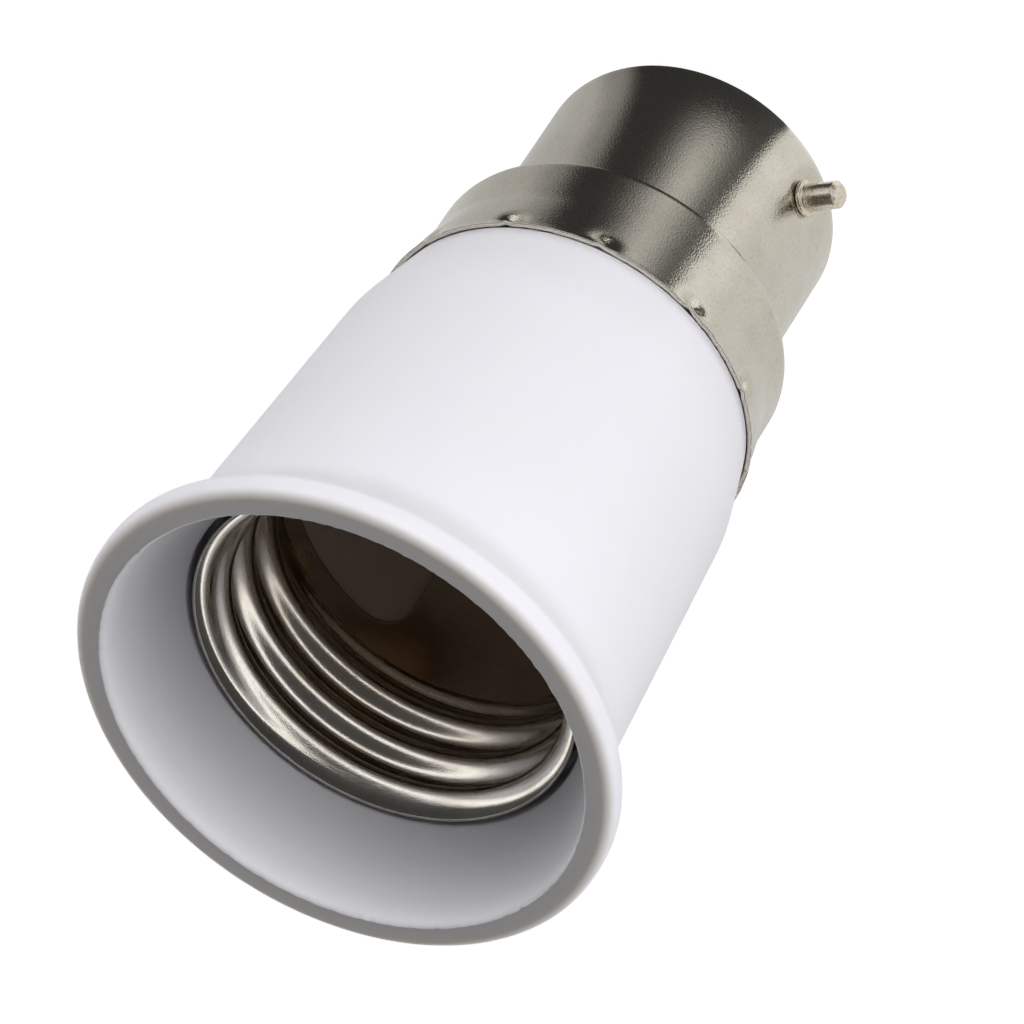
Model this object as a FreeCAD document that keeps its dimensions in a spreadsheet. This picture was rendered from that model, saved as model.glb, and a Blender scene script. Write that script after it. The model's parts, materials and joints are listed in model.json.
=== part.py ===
import FreeCAD, Part

import math
import os
import re

import Sketcher
from FreeCAD import Placement, Rotation, Vector

# Lamp socket adapter: a bayonet cap on one end, a screw lampholder in a flared white housing on the other.
# It stands on the two contact faces of its cap. Z runs along the axis from there up to the mouth,
# the two bayonet pins lie along Y and the two feet of the screw shell along X. Millimetres and degrees.

# Driving dimensions, in millimetres, apart from bearings in degrees and counts
SIZES = {
    # Screw shell
    "thread_pitch": 3.629,  # rise of one turn, seven turns to the inch
    "thread_crest_radius": 12.25,  # inside of the ridges
    "thread_depth": 1.1,  # ridge to groove
    "shell_sheet": 0.3,  # metal of the shell
    "thread_length": 11.6,  # lip to the end of the thread
    "thread_fade": 1.8,  # run-out at each end of the thread
    "crest_drop": 1.2,  # lip to the uppermost ridge at its bearing
    "crest_bearing": 160,  # bearing of that ridge
    "lip_reach": 0.37,  # outside of the thread to the outside of the lip
    "lip_curl": 1.1,  # height of the lip's curl
    "collar_height": 2.0,  # plain collar between the thread and the windows
    "window_half_width": 8.1,  # half the width of the two windows
    "window_rounding": 2.5,  # upper corners of the windows
    "foot_margin": 2.0,  # middle of a shell rivet to the end of its foot
    "foot_width": 8.0,  # width of a foot
    "foot_neck": 1.0,  # floor to the full width of a strap
    "foot_bend": 0.3,  # inside of the bend between strap and foot
    # Housing
    "mouth_height": 61.8,  # contact faces to the face of the rim
    "mouth_bore_depth": 7.0,  # rim face to the foot of the flare
    "thread_gap": 0.3,  # air round the outside of the thread
    "strap_gap": 0.2,  # air round the outside of the straps
    "ledge_width": 0.78,  # bore round the thread to the bore round the lip
    "ledge_depth": 2.6,  # length of the bore round the lip
    "ledge_draft": 0.1,  # how much that bore narrows
    "bore_step_drop": 1.2,  # end of the thread to the bore round the straps
    "bore_step_rise": 0.5,  # height of the slope between the two
    "mouth_wall": 1.9,  # wall where the flare begins
    "waist_wall": 1.72,  # bore round the straps to the top of the waist
    "waist_rise": 4.7,  # skirt's edge to the top of the waist
    "waist_rounding": 8.0,  # bend from the waist to the taper
    "flare_length": 5.8,  # rim face to where the outer taper ends
    "flare_reach": 2.87,  # outer taper to the outside of the rim
    "flare_hollow": 5.0,  # hollow curve under the rim
    "rim_rounding": 0.8,  # front edge of the rim
    "rim_back_rounding": 0.9,  # back edge of the rim
    "rim_side": 1.8,  # length of the rim's outer side before rounding
    "rim_width": 2.0,  # face of the rim, outside to inside
    "rim_chamfer": 0.12,  # inner edge of the rim
    "crease_depth": 2.1,  # rim face to the crease inside the flare
    "crease_inset": 0.4,  # rim's inner edge to the crease, across
    "floor_height": 30.5,  # contact faces to the floor of the socket
    "floor_thickness": 3.2,  # floor between the socket and the cap
    "seat_gap": 0.06,  # housing to the inside of the skirt
    "seat_clearance": 0.2,  # how much rounder the housing's lower edge is than the cap inside
    "seat_flat": 0.05,  # flat foot between that edge and the wiring space
    # Bayonet cap
    "barrel_radius": 11.0,  # outside of the cap's barrel
    "cap_sheet": 0.35,  # metal of the cap
    "cap_end_height": 0.7,  # contact faces to the metal end
    "cap_end_rounding": 2.5,  # outer edge of the metal end
    "cap_lip": 0.5,  # flat of the metal end between its rounding and its hole
    "shoulder_height": 16.2,  # contact faces to the shoulder
    "shoulder_rounding": 1.55,  # outer edge of the shoulder
    "shoulder_hollow": 0.6,  # inner corner of the shoulder
    "shoulder_flat": 0.1,  # flat left between those two
    "skirt_length": 9.1,  # shoulder to the edge of the skirt
    "skirt_straight": 4.4,  # shoulder to where the skirt begins to widen
    "skirt_flare": 0.87,  # how much the skirt widens to its edge
    "waist_step": 0.82,  # skirt's edge to the top of the waist, across
    "punch_count": 12,  # crimp marks round the skirt
    "punch_bearing": 21,  # bearing of the first crimp mark
    "punch_radius": 1.3,  # ball of the crimping punch
    "punch_depth": 0.24,  # depth of a crimp mark
    "punch_inset": 1.15,  # skirt's edge to the middle of a crimp mark
    "nick_width": 0.9,  # nick in the skirt's edge at a crimp mark
    "nick_height": 0.4,  # height of that nick
    "pin_rise": 1.8,  # end of the barrel's straight side to the middle of the pins
    "pin_radius": 1.0,  # bayonet pin
    "pin_length": 2.8,  # pin outside the barrel
    "pin_bevel": 0.3,  # bevel at the end of a pin
    "pin_head_radius": 1.4,  # head of the pin inside the barrel
    "pin_head_thickness": 0.6,  # head of the pin inside the barrel
    "pin_seat_radius": 1.9,  # dimple round the pin
    "pin_seat_depth": 0.22,  # dimple round the pin
    "collar_radius": 1.3,  # collar swaged on the pin
    "collar_thickness": 0.32,  # collar swaged on the pin
    # Insulator and contacts
    "insulator_gap": 0.1,  # insulator to the metal of the cap
    "insulator_face_height": 0.25,  # contact faces to the insulator's face
    "insulator_side": 0.1,  # insulator above the curve of the cap's end
    "boss_radius": 2.6,  # boss round a contact
    "boss_height": 2.6,  # boss round a contact
    "contact_spacing": 9.2,  # middle to middle of the contacts
    "contact_radius": 2.5,  # face of a contact
    "contact_rounding": 0.1,  # edge of a contact's face
    "tube_radius": 1.3,  # tube of a contact
    "tube_bore": 0.75,  # hole in that tube
    "tube_rise": 0.5,  # tube above its boss
    "fit_gap": 0.05,  # pin, tube, rivet or wire in its hole
    # Rivets, spring leaf and solder tags
    "rivet_radius": 1.1,  # shank of a rivet
    "rivet_head_radius": 1.9,  # head of a rivet
    "rivet_head_height": 0.6,  # head of a rivet
    "rivet_crown_radius": 1.3,  # top of a rivet's head
    "rivet_tail_radius": 1.6,  # spread end of a rivet
    "rivet_tail_height": 0.45,  # spread end of a rivet
    "rivet_bore": 0.6,  # hole in a rivet
    "leaf_inset": 0.9,  # tag of the leaf's rivet to the wall of the wiring space
    "leaf_thickness": 0.4,  # spring leaf
    "leaf_width": 6.0,  # spring leaf
    "leaf_margin": 2.6,  # middle of the leaf's rivet to its end
    "leaf_base": 3.0,  # middle of the leaf's rivet to its first bend
    "leaf_rise": 4.7,  # floor to the top of the leaf
    "leaf_crown": 1.4,  # axis to either end of the leaf's flat crown
    "leaf_tip": 3.6,  # axis to the tip of the leaf
    "leaf_tip_drop": 1.7,  # crown to the tip
    "leaf_rounding": 1.0,  # bends of the leaf
    "tag_thickness": 0.3,  # solder tag
    "tag_radius": 2.1,  # ring of a solder tag
    "tag_gap": 0.1,  # tag to the wall, and solder to its rivet
    "tag_tail_width": 2.4,  # tail of the tag
    "tag_wire_inset": 0.8,  # end of the tag to the middle of its wire hole
    # Solder and leads
    "solder_height": 0.9,  # bead of solder
    "solder_side": 0.25,  # side of a bead below its slope
    "solder_top_radius": 0.7,  # bead of solder where the lead leaves it
    "tag_solder_radius": 0.9,  # bead of solder on a tag
    "wire_radius": 0.4,  # conductor of a lead
    "lead_radius": 0.8,  # insulated lead
    "bare_gap": 0.2,  # bare wire between a bead and the insulation
    "lead_straight": 2.0,  # insulated lead before its first bend and after its last
}

# Sizes and places that follow from those, as expressions
WORKED_OUT = {
    "thread_bore_radius": "thread_crest_radius + thread_depth + shell_sheet + thread_gap",
    "strap_bore_radius": "thread_crest_radius + thread_depth / 2 + shell_sheet + strap_gap",
    "lip_radius": "thread_crest_radius + thread_depth + shell_sheet + lip_reach",
    "mouth_bore_radius": "thread_bore_radius + ledge_width",
    "taper_top_radius": "mouth_bore_radius + mouth_wall",
    "taper_low_radius": "strap_bore_radius + waist_wall",
    "rim_radius": "taper_top_radius + flare_reach",
    "rim_inner_radius": "rim_radius - rim_width",
    "skirt_edge_radius": "taper_low_radius - waist_step",
    "skirt_top_radius": "skirt_edge_radius - skirt_flare",
    "shoulder_width": "skirt_top_radius - barrel_radius",
    "shoulder_fit": "min(1; shoulder_width / (shoulder_rounding + shoulder_hollow + shoulder_flat))",
    "seat_rounding": "shoulder_rounding * shoulder_fit - cap_sheet + seat_clearance",
    "cavity_radius": "skirt_top_radius - cap_sheet - seat_gap - seat_rounding - seat_flat",
    "cap_hole_radius": "barrel_radius - cap_end_rounding - cap_lip",
    "pin_reach": "barrel_radius + pin_length",
    "shell_rivet_offset": "cavity_radius - tag_radius - tag_gap",
    "leaf_rivet_offset": "cavity_radius - tag_radius - leaf_inset",
    "foot_inner": "shell_rivet_offset - foot_margin",
    "leaf_heel": "leaf_rivet_offset + leaf_margin",
    "leaf_bend": "leaf_rivet_offset - leaf_base",
    "tag_wire": "rivet_tail_radius + tag_solder_radius + tag_gap",
    "tag_tail": "tag_wire + tag_wire_inset",
    "shell_top_height": "mouth_height - mouth_bore_depth",
    "ledge_height": "shell_top_height - ledge_depth",
    "crest_height": "shell_top_height - crest_drop",
    "thread_foot_height": "shell_top_height - thread_length",
    "window_height": "thread_foot_height - collar_height",
    "strap_bore_height": "thread_foot_height - bore_step_drop",
    "skirt_bend_height": "shoulder_height + skirt_straight",
    "skirt_edge_height": "shoulder_height + skirt_length",
    "waist_top_height": "skirt_edge_height + waist_rise",
    "seat_height": "shoulder_height + cap_sheet",
    "barrel_low_height": "cap_end_height + cap_end_rounding",
    "pin_height": "barrel_low_height + pin_rise",
    "insulator_top_height": "barrel_low_height + insulator_side",
    "boss_top_height": "insulator_top_height + boss_height",
    "tube_top_height": "boss_top_height + tube_rise",
    "leaf_crown_height": "floor_height + leaf_rise",
    "under_floor_height": "floor_height - floor_thickness",
    "under_tag_height": "under_floor_height - tag_thickness",
}

SECTIONS_PER_TURN = 12  # circles that carry one turn of the thread

DOC = FreeCAD.newDocument("LampSocketAdapter")
SHEET = DOC.addObject("Spreadsheet::Sheet", "Sizes")
PARTS = []


def fill_sheet():
    """Puts the driving dimensions in the sheet, each with its name and alias."""
    for row, (name, value) in enumerate(SIZES.items(), 1):
        SHEET.set(f"A{row}", name)
        SHEET.set(f"B{row}", str(value))
        SHEET.setAlias(f"B{row}", name)
    DOC.recompute()


def bound(text):
    """Turns the plain names in an expression into cells of the sheet."""
    return re.sub("[a-z_]+", cell, str(text))


def cell(word):
    """One name as its cell, or as its own expression where it is worked out."""
    name = word.group()
    if name in WORKED_OUT:
        return "(" + bound(WORKED_OUT[name]) + ")"
    return "Sizes." + name if name in SIZES else name


def number(text):
    return float(SHEET.evalExpression(bound(text)))


def same(first, second):
    """True where two lengths are equal but for rounding."""
    return math.isclose(first, second, abs_tol=1e-4)


def plane_of(body, role):
    return next(item for item in body.Origin.OriginFeatures if item.Role == role)


def new_body(label):
    body = DOC.addObject("PartDesign::Body", label)
    body.Label = label
    PARTS.append(body)
    return body


def outline(body, name, corners, role="XZ_Plane", depth=None):
    """A closed sketch of straight edges. Each corner is a pair of expressions, which its constraints keep."""
    sketch = body.newObject("Sketcher::SketchObject", name)
    sketch.AttachmentSupport = [(plane_of(body, role), "")]
    sketch.MapMode = "FlatFace"
    if depth is not None:
        sketch.setExpression("AttachmentOffset.Base.z", bound(depth))
    points = [Vector(number(across), number(up), 0) for across, up in corners]
    count = len(points)
    for index in range(count):
        sketch.addGeometry(Part.LineSegment(points[index], points[(index + 1) % count]))
    for index in range(count):
        sketch.addConstraint(Sketcher.Constraint("Coincident", index, 2, (index + 1) % count, 1))
    for index, (across, up) in enumerate(corners):
        pin_down(sketch, index, "DistanceX", -2, across)
        pin_down(sketch, index, "DistanceY", -1, up)
    return sketch


def pin_down(sketch, index, kind, axis, text):
    """Holds the start of an edge at an expression from the sketch's origin, or on its axis at nought."""
    if str(text) == "0":
        sketch.addConstraint(Sketcher.Constraint("PointOnObject", index, 1, axis))
        return
    row = sketch.addConstraint(Sketcher.Constraint(kind, -1, 1, index, 1, number(text)))
    sketch.setExpression(f"Constraints[{row}]", bound(text))


def disc(body, name, centre, radius, role="XY_Plane", depth=None):
    """A sketch of one circle."""
    sketch = body.newObject("Sketcher::SketchObject", name)
    sketch.AttachmentSupport = [(plane_of(body, role), "")]
    sketch.MapMode = "FlatFace"
    if depth is not None:
        sketch.setExpression("AttachmentOffset.Base.z", bound(depth))
    middle = Vector(number(centre[0]), number(centre[1]), 0)
    sketch.addGeometry(Part.Circle(middle, Vector(0, 0, 1), number(radius)))
    for kind, axis, text in (("DistanceX", -2, centre[0]), ("DistanceY", -1, centre[1])):
        if str(text) == "0":
            sketch.addConstraint(Sketcher.Constraint("PointOnObject", 0, 3, axis))
        else:
            row = sketch.addConstraint(Sketcher.Constraint(kind, -1, 1, 0, 3, number(text)))
            sketch.setExpression(f"Constraints[{row}]", bound(text))
    row = sketch.addConstraint(Sketcher.Constraint("Radius", 0, number(radius)))
    sketch.setExpression(f"Constraints[{row}]", bound(radius))
    return sketch


def turned(body, name, corners):
    """Revolves a profile, given as radius and height, about the body's Z axis."""
    sketch = outline(body, name + "_profile", corners)
    feature = body.newObject("PartDesign::Revolution", name)
    feature.Profile = sketch
    feature.ReferenceAxis = (sketch, ["V_Axis"])
    feature.Angle = 360
    DOC.recompute()
    return feature


def padded(body, name, sketch, length, midplane=False):
    """Gives a sketch a thickness."""
    feature = body.newObject("PartDesign::Pad", name)
    feature.Profile = sketch
    feature.setExpression("Length", bound(length))
    feature.Midplane = midplane
    DOC.recompute()
    return feature


def hole(body, name, sketch, midplane=False):
    """Cuts a sketch down through the body, and checks that something was cut."""
    before = body.Shape.Volume
    feature = body.newObject("PartDesign::Pocket", name)
    feature.Profile = sketch
    feature.Type = "ThroughAll"
    feature.Midplane = midplane
    DOC.recompute()
    if body.Shape.Volume >= before:
        raise RuntimeError(name + " cut nothing")
    return feature


def ring_edge(feature, radius, height):
    """The name of the round edge about the Z axis with this radius at this height."""
    wanted = (number(radius), number(height))
    for index, edge in enumerate(feature.Shape.Edges, 1):
        curve = edge.Curve
        if not isinstance(curve, Part.Circle) or not same(math.hypot(curve.Center.x, curve.Center.y), 0):
            continue
        if same(curve.Radius, wanted[0]) and same(curve.Center.z, wanted[1]):
            return f"Edge{index}"
    raise RuntimeError(f"{feature.Name} has no round edge at {wanted}")


def rounded(body, name, base, edges, radius):
    """Rounds some edges of the feature before."""
    feature = body.newObject("PartDesign::Fillet", name)
    feature.Base = (base, edges)
    feature.setExpression("Radius", bound(radius))
    DOC.recompute()
    return feature


def around(body, name, features, count):
    """Repeats features round the Z axis of the body."""
    pattern = body.newObject("PartDesign::PolarPattern", name)
    pattern.Originals = features
    pattern.Axis = (plane_of(body, "Z_Axis"), [""])
    pattern.Angle = 360
    pattern.setExpression("Occurrences", bound(count))
    body.Tip = pattern
    DOC.recompute()
    return pattern


def make_housing():
    """The moulded white housing: seat for the cap, tapered wall, flared mouth, stepped bore and floor."""
    body = new_body("body_housing")
    corners = [
        ("cavity_radius", "seat_height"),
        ("skirt_top_radius - cap_sheet - seat_gap", "seat_height"),
        ("skirt_top_radius - cap_sheet - seat_gap", "skirt_bend_height"),
        ("skirt_edge_radius - cap_sheet - seat_gap", "skirt_edge_height"),
        ("taper_low_radius", "waist_top_height"),
        ("taper_top_radius", "mouth_height - flare_length"),
        ("rim_radius", "mouth_height - rim_side"),
        ("rim_radius", "mouth_height"),
        ("rim_inner_radius + rim_chamfer", "mouth_height"),
        ("rim_inner_radius", "mouth_height - rim_chamfer"),
        ("rim_inner_radius - crease_inset", "mouth_height - crease_depth"),
        ("mouth_bore_radius", "shell_top_height"),
        ("mouth_bore_radius - ledge_draft", "ledge_height"),
        ("thread_bore_radius", "ledge_height"),
        ("thread_bore_radius", "strap_bore_height + bore_step_rise"),
        ("strap_bore_radius", "strap_bore_height"),
        ("strap_bore_radius", "floor_height"),
        ("0", "floor_height"),
        ("0", "under_floor_height"),
        ("cavity_radius", "under_floor_height"),
    ]
    solid = turned(body, "wall", corners)
    solid = rounded(body, "flare_curve", solid, [ring_edge(solid, *corners[5])], "flare_hollow")
    solid = rounded(body, "waist_curve", solid, [ring_edge(solid, *corners[4])], "waist_rounding")
    solid = rounded(body, "rim_back", solid, [ring_edge(solid, *corners[6])], "rim_back_rounding")
    solid = rounded(body, "rim_front", solid, [ring_edge(solid, *corners[7])], "rim_rounding")
    solid = rounded(body, "seat_edge", solid, [ring_edge(solid, *corners[1])], "seat_rounding")
    for name, across, along in (
        ("shell_rivet_hole_right", "shell_rivet_offset", "0"),
        ("shell_rivet_hole_left", "-shell_rivet_offset", "0"),
        ("leaf_rivet_hole", "0", "-leaf_rivet_offset"),
    ):
        circle = disc(body, name + "_circle", (across, along), "rivet_radius + fit_gap", depth="floor_height")
        hole(body, name, circle)
    return body


def make_cap():
    """The drawn metal cap: barrel, shoulder and skirt of one sheet, a turned-in end and a crimped edge."""
    body = new_body("bayonet_cap")
    corners = [
        ("0", "cap_end_height"),
        ("barrel_radius", "cap_end_height"),
        ("barrel_radius", "shoulder_height"),
        ("skirt_top_radius", "shoulder_height"),
        ("skirt_top_radius", "skirt_bend_height"),
        ("skirt_edge_radius", "skirt_edge_height"),
        ("0", "skirt_edge_height"),
    ]
    solid = turned(body, "draw", corners)
    solid = rounded(body, "end_curve", solid, [ring_edge(solid, *corners[1])], "cap_end_rounding")
    outer_edge = [ring_edge(solid, *corners[3])]
    solid = rounded(body, "shoulder_curve", solid, outer_edge, "shoulder_rounding * shoulder_fit")
    inner_corner = [ring_edge(solid, *corners[2])]
    solid = rounded(body, "shoulder_corner", solid, inner_corner, "shoulder_hollow * shoulder_fit")
    open_face = next(
        f"Face{index}"
        for index, face in enumerate(solid.Shape.Faces, 1)
        if same(face.CenterOfMass.z, number("skirt_edge_height"))
    )
    hollow = body.newObject("PartDesign::Thickness", "sheet")
    hollow.Base = (solid, [open_face])
    hollow.setExpression("Value", bound("cap_sheet"))
    hollow.Reversed = True
    DOC.recompute()
    end_circle = disc(body, "end_circle", ("0", "0"), "cap_hole_radius", depth="cap_end_height + cap_sheet")
    hole(body, "end_hole", end_circle)
    pin_circle = disc(body, "pin_circle", ("0", "pin_height"), "pin_radius + fit_gap", role="XZ_Plane")
    hole(body, "pin_holes", pin_circle, midplane=True)
    for name, side in (("front", -1), ("rear", 1)):
        seat = body.newObject("PartDesign::SubtractiveCone", "pin_seat_" + name)
        seat.setExpression("Radius1", bound("pin_seat_radius - pin_seat_depth"))
        seat.setExpression("Radius2", bound("pin_seat_radius + pin_seat_depth"))
        seat.setExpression("Height", bound("2 * pin_seat_depth"))
        seat.Placement = Placement(Vector(0, 0, 0), Rotation(Vector(1, 0, 0), -90 * side))
        seat.setExpression("Placement.Base.y", bound(f"{side} * (barrel_radius - pin_seat_depth)"))
        seat.setExpression("Placement.Base.z", bound("pin_height"))
        DOC.recompute()
    punch = body.newObject("PartDesign::SubtractiveSphere", "punch")
    skirt_at_punch = "skirt_edge_radius - skirt_flare * punch_inset / (skirt_length - skirt_straight)"
    reach = f"{skirt_at_punch} + punch_radius - punch_depth"
    punch.setExpression("Radius", bound("punch_radius"))
    punch.setExpression("Placement.Base.x", bound(f"({reach}) * cos(punch_bearing)"))
    punch.setExpression("Placement.Base.y", bound(f"({reach}) * sin(punch_bearing)"))
    punch.setExpression("Placement.Base.z", bound("skirt_edge_height - punch_inset"))
    DOC.recompute()
    nick = body.newObject("PartDesign::SubtractiveBox", "nick")
    nick.setExpression("Length", bound("4 * cap_sheet"))
    nick.setExpression("Width", bound("nick_width"))
    nick.setExpression("Height", bound("2 * nick_height"))
    nick.Placement = Placement(Vector(0, 0, 0), Rotation(Vector(0, 0, 1), number("punch_bearing")))
    inner = "(skirt_edge_radius - 2 * cap_sheet)"
    nick.setExpression("Placement.Rotation.Angle", bound("punch_bearing"))
    nick_x = f"{inner} * cos(punch_bearing) + nick_width / 2 * sin(punch_bearing)"
    nick_y = f"{inner} * sin(punch_bearing) - nick_width / 2 * cos(punch_bearing)"
    nick.setExpression("Placement.Base.x", bound(nick_x))
    nick.setExpression("Placement.Base.y", bound(nick_y))
    nick.setExpression("Placement.Base.z", bound("skirt_edge_height - nick_height"))
    DOC.recompute()
    around(body, "crimp_marks", [punch, nick], "punch_count")
    return body


def make_pin(label, side):
    """One bayonet pin, turned: head inside the barrel, shank, swaged collar and bevelled end."""
    body = new_body(label)
    wall = "(barrel_radius - cap_sheet)"
    head = f"sqrt({wall} * {wall} - pin_head_radius * pin_head_radius)"
    collar = "barrel_radius - pin_seat_depth"
    corners = [
        ("0", f"{head} - pin_head_thickness"),
        ("pin_head_radius", f"{head} - pin_head_thickness"),
        ("pin_head_radius", head),
        ("pin_radius", head),
        ("pin_radius", collar),
        ("collar_radius", collar),
        ("collar_radius", f"{collar} + collar_thickness"),
        ("pin_radius", f"{collar} + collar_thickness"),
        ("pin_radius", "pin_reach - pin_bevel"),
        ("pin_radius - pin_bevel", "pin_reach"),
        ("0", "pin_reach"),
    ]
    turned(body, label + "_turning", corners)
    body.Placement = Placement(Vector(0, 0, 0), Rotation(Vector(1, 0, 0), -90 * side))
    body.setExpression("Placement.Base.z", bound("pin_height"))
    return body


def make_insulator():
    """The moulded disc in the cap's end, with a boss and a hole for each contact."""
    body = new_body("cap_insulator")
    rim = "cap_end_height + cap_sheet"
    side = "barrel_radius - cap_sheet - insulator_gap"
    corners = [
        ("0", "insulator_face_height"),
        ("cap_hole_radius - insulator_gap", "insulator_face_height"),
        ("cap_hole_radius - insulator_gap", rim),
        (side, rim),
        (side, "insulator_top_height"),
        ("0", "insulator_top_height"),
    ]
    plate = turned(body, "plate", corners)
    rounded(body, "plate_curve", plate, [ring_edge(plate, side, rim)], "cap_end_rounding - cap_sheet")
    for name, side in (("front", -1), ("rear", 1)):
        middle = ("0", f"{side} * contact_spacing / 2")
        boss = disc(body, "boss_circle_" + name, middle, "boss_radius", depth="insulator_top_height")
        padded(body, "boss_" + name, boss, "boss_height")
        circle = disc(body, "tube_circle_" + name, middle, "tube_radius + fit_gap", depth="boss_top_height")
        hole(body, "hole_" + name, circle)
    return body


def make_contact(label, side):
    """One contact of the cap: a flat round face with a tube that holds the lead."""
    body = new_body(label)
    corners = [
        ("0", "0"),
        ("contact_radius", "0"),
        ("contact_radius", "insulator_face_height"),
        ("tube_radius", "insulator_face_height"),
        ("tube_radius", "tube_top_height"),
        ("tube_bore", "tube_top_height"),
        ("tube_bore", "insulator_face_height"),
        ("0", "insulator_face_height"),
    ]
    solid = turned(body, label + "_turning", corners)
    rounded(body, label + "_edge", solid, [ring_edge(solid, "contact_radius", "0")], "contact_rounding")
    body.setExpression("Placement.Base.y", bound(f"{side} * contact_spacing / 2"))
    return body


def make_solder(label, across, along, seat, radius, way):
    """A bead of solder round the bare end of a lead: way is 1 where it rises from its seat, else -1."""
    body = new_body(label)
    slope = f"{seat} + {way} * solder_side"
    tip = f"{seat} + {way} * solder_height"
    corners = [
        ("wire_radius", seat),
        (radius, seat),
        (radius, slope),
        ("solder_top_radius", tip),
        ("wire_radius", tip),
    ]
    turned(body, label + "_bead", corners)
    body.setExpression("Placement.Base.x", bound(across))
    body.setExpression("Placement.Base.y", bound(along))
    return body


def make_rivet(label, across, along, low, high):
    """One tubular rivet: head above, spread end below. low and high are the faces that it clamps."""
    body = new_body(label)
    corners = [
        ("rivet_bore", f"{low} - rivet_tail_height"),
        ("rivet_tail_radius", f"{low} - rivet_tail_height"),
        ("rivet_tail_radius", low),
        ("rivet_radius", low),
        ("rivet_radius", high),
        ("rivet_head_radius", high),
        ("rivet_head_radius", f"{high} + rivet_head_height / 2"),
        ("rivet_crown_radius", f"{high} + rivet_head_height"),
        ("rivet_bore", f"{high} + rivet_head_height"),
    ]
    turned(body, label + "_turning", corners)
    body.setExpression("Placement.Base.x", bound(across))
    body.setExpression("Placement.Base.y", bound(along))
    return body


def make_leaf():
    """The centre contact: one spring strip, riveted at its base, bent up to a crown under the lamp."""
    body = new_body("centre_contact")
    thick = "leaf_thickness"
    under_crown = "leaf_crown_height - leaf_thickness"
    climb = "atan((leaf_rise - leaf_thickness) / (leaf_bend - leaf_crown))"
    fall = "atan(leaf_tip_drop / (leaf_tip - leaf_crown))"
    corners = [
        ("-leaf_heel", "floor_height"),
        ("-leaf_bend", "floor_height"),
        ("-leaf_crown", under_crown),
        ("leaf_crown", under_crown),
        ("leaf_tip", f"{under_crown} - leaf_tip_drop"),
        (f"leaf_tip + {thick} * sin({fall})", f"{under_crown} - leaf_tip_drop + {thick} * cos({fall})"),
        (f"leaf_crown + {thick} * tan({fall} / 2)", "leaf_crown_height"),
        (f"-leaf_crown - {thick} * tan({climb} / 2)", "leaf_crown_height"),
        (f"-leaf_bend - {thick} * tan({climb} / 2)", f"floor_height + {thick}"),
        ("-leaf_heel", f"floor_height + {thick}"),
    ]
    sketch = outline(body, "strip_profile", corners, role="YZ_Plane")
    strip = padded(body, "strip", sketch, "leaf_width", midplane=True)
    before_bends = -number("leaf_heel + leaf_bend") / 2
    after_bends = number("leaf_tip + leaf_crown") / 2
    bends = [
        f"Edge{index}"
        for index, edge in enumerate(strip.Shape.Edges, 1)
        if same(edge.Length, number("leaf_width")) and before_bends < edge.CenterOfMass.y < after_bends
    ]
    rounded(body, "bends", strip, bends, "leaf_rounding")
    middle = ("0", "-leaf_rivet_offset")
    base_top = "floor_height + leaf_thickness"
    circle = disc(body, "rivet_hole_circle", middle, "rivet_radius + fit_gap", depth=base_top)
    hole(body, "rivet_hole", circle)
    return body


def make_tag(label, across, along, bearing):
    """A solder tag under the floor: a ring on its rivet with a tail towards the lead."""
    body = new_body(label)
    ring = disc(body, label + "_ring", ("0", "0"), "tag_radius")
    padded(body, label + "_plate", ring, "tag_thickness")
    half = "tag_tail_width / 2"
    corners = [("0", f"-{half}"), ("tag_tail", f"-{half}"), ("tag_tail", half), ("0", half)]
    tail = outline(body, label + "_tail_shape", corners, role="XY_Plane")
    padded(body, label + "_tail", tail, "tag_thickness")
    eye = disc(body, label + "_eye_circle", ("0", "0"), "rivet_radius + fit_gap", depth="tag_thickness")
    hole(body, label + "_eye", eye)
    place = ("tag_wire", "0")
    wire = disc(body, label + "_wire_circle", place, "wire_radius + fit_gap", depth="tag_thickness")
    hole(body, label + "_wire_hole", wire)
    body.Placement = Placement(Vector(0, 0, 0), Rotation(Vector(0, 0, 1), bearing))
    body.setExpression("Placement.Base.x", bound(across))
    body.setExpression("Placement.Base.y", bound(along))
    body.setExpression("Placement.Base.z", bound("under_tag_height"))
    return body


def plain_part(label, shape):
    """Keeps a shape made with Part's functions as a sub-part of the document."""
    piece = DOC.addObject("Part::Feature", label)
    piece.Label = label
    piece.Shape = shape
    piece.Placement = Placement()
    PARTS.append(piece)
    return piece


def eased(share):
    """Nought to one with level ends."""
    share = min(1.0, max(0.0, share))
    return share * share * (3 - 2 * share)


def thread_wall(outward):
    """One wall of the rolled thread as a solid: a round section whose centre runs round the axis.

    A round thread cut square to its axis is a circle pushed off centre by half the thread's depth, and
    the push turns once in each pitch. It dies away at both ends, and the radius opens into the lip.
    """
    depth = number("thread_depth") / 2
    middle = number("thread_crest_radius") + depth + outward
    pitch = number("thread_pitch")
    foot = number("thread_foot_height")
    top = number("shell_top_height")
    curl = number("lip_curl")
    lip_rise = number("lip_radius - shell_sheet") + outward - middle
    fade = number("thread_fade")
    steps = math.ceil((top - foot) / pitch * SECTIONS_PER_TURN)
    wires = []
    for index in range(steps + 1):
        height = foot + (top - foot) * index / steps
        push = depth * eased((height - foot) / fade) * eased((top - height) / fade)
        turn = math.radians(number("crest_bearing")) + 2 * math.pi * (height - number("crest_height")) / pitch
        share = max(0.0, 1 - (top - height) / curl)
        radius = middle + lip_rise * (1 - math.sqrt(1 - share * share))
        centre = Vector(-push * math.cos(turn), -push * math.sin(turn), height)
        wires.append(Part.Wire(Part.makeCircle(radius, centre)))
    return Part.makeLoft(wires, True, False)


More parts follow.
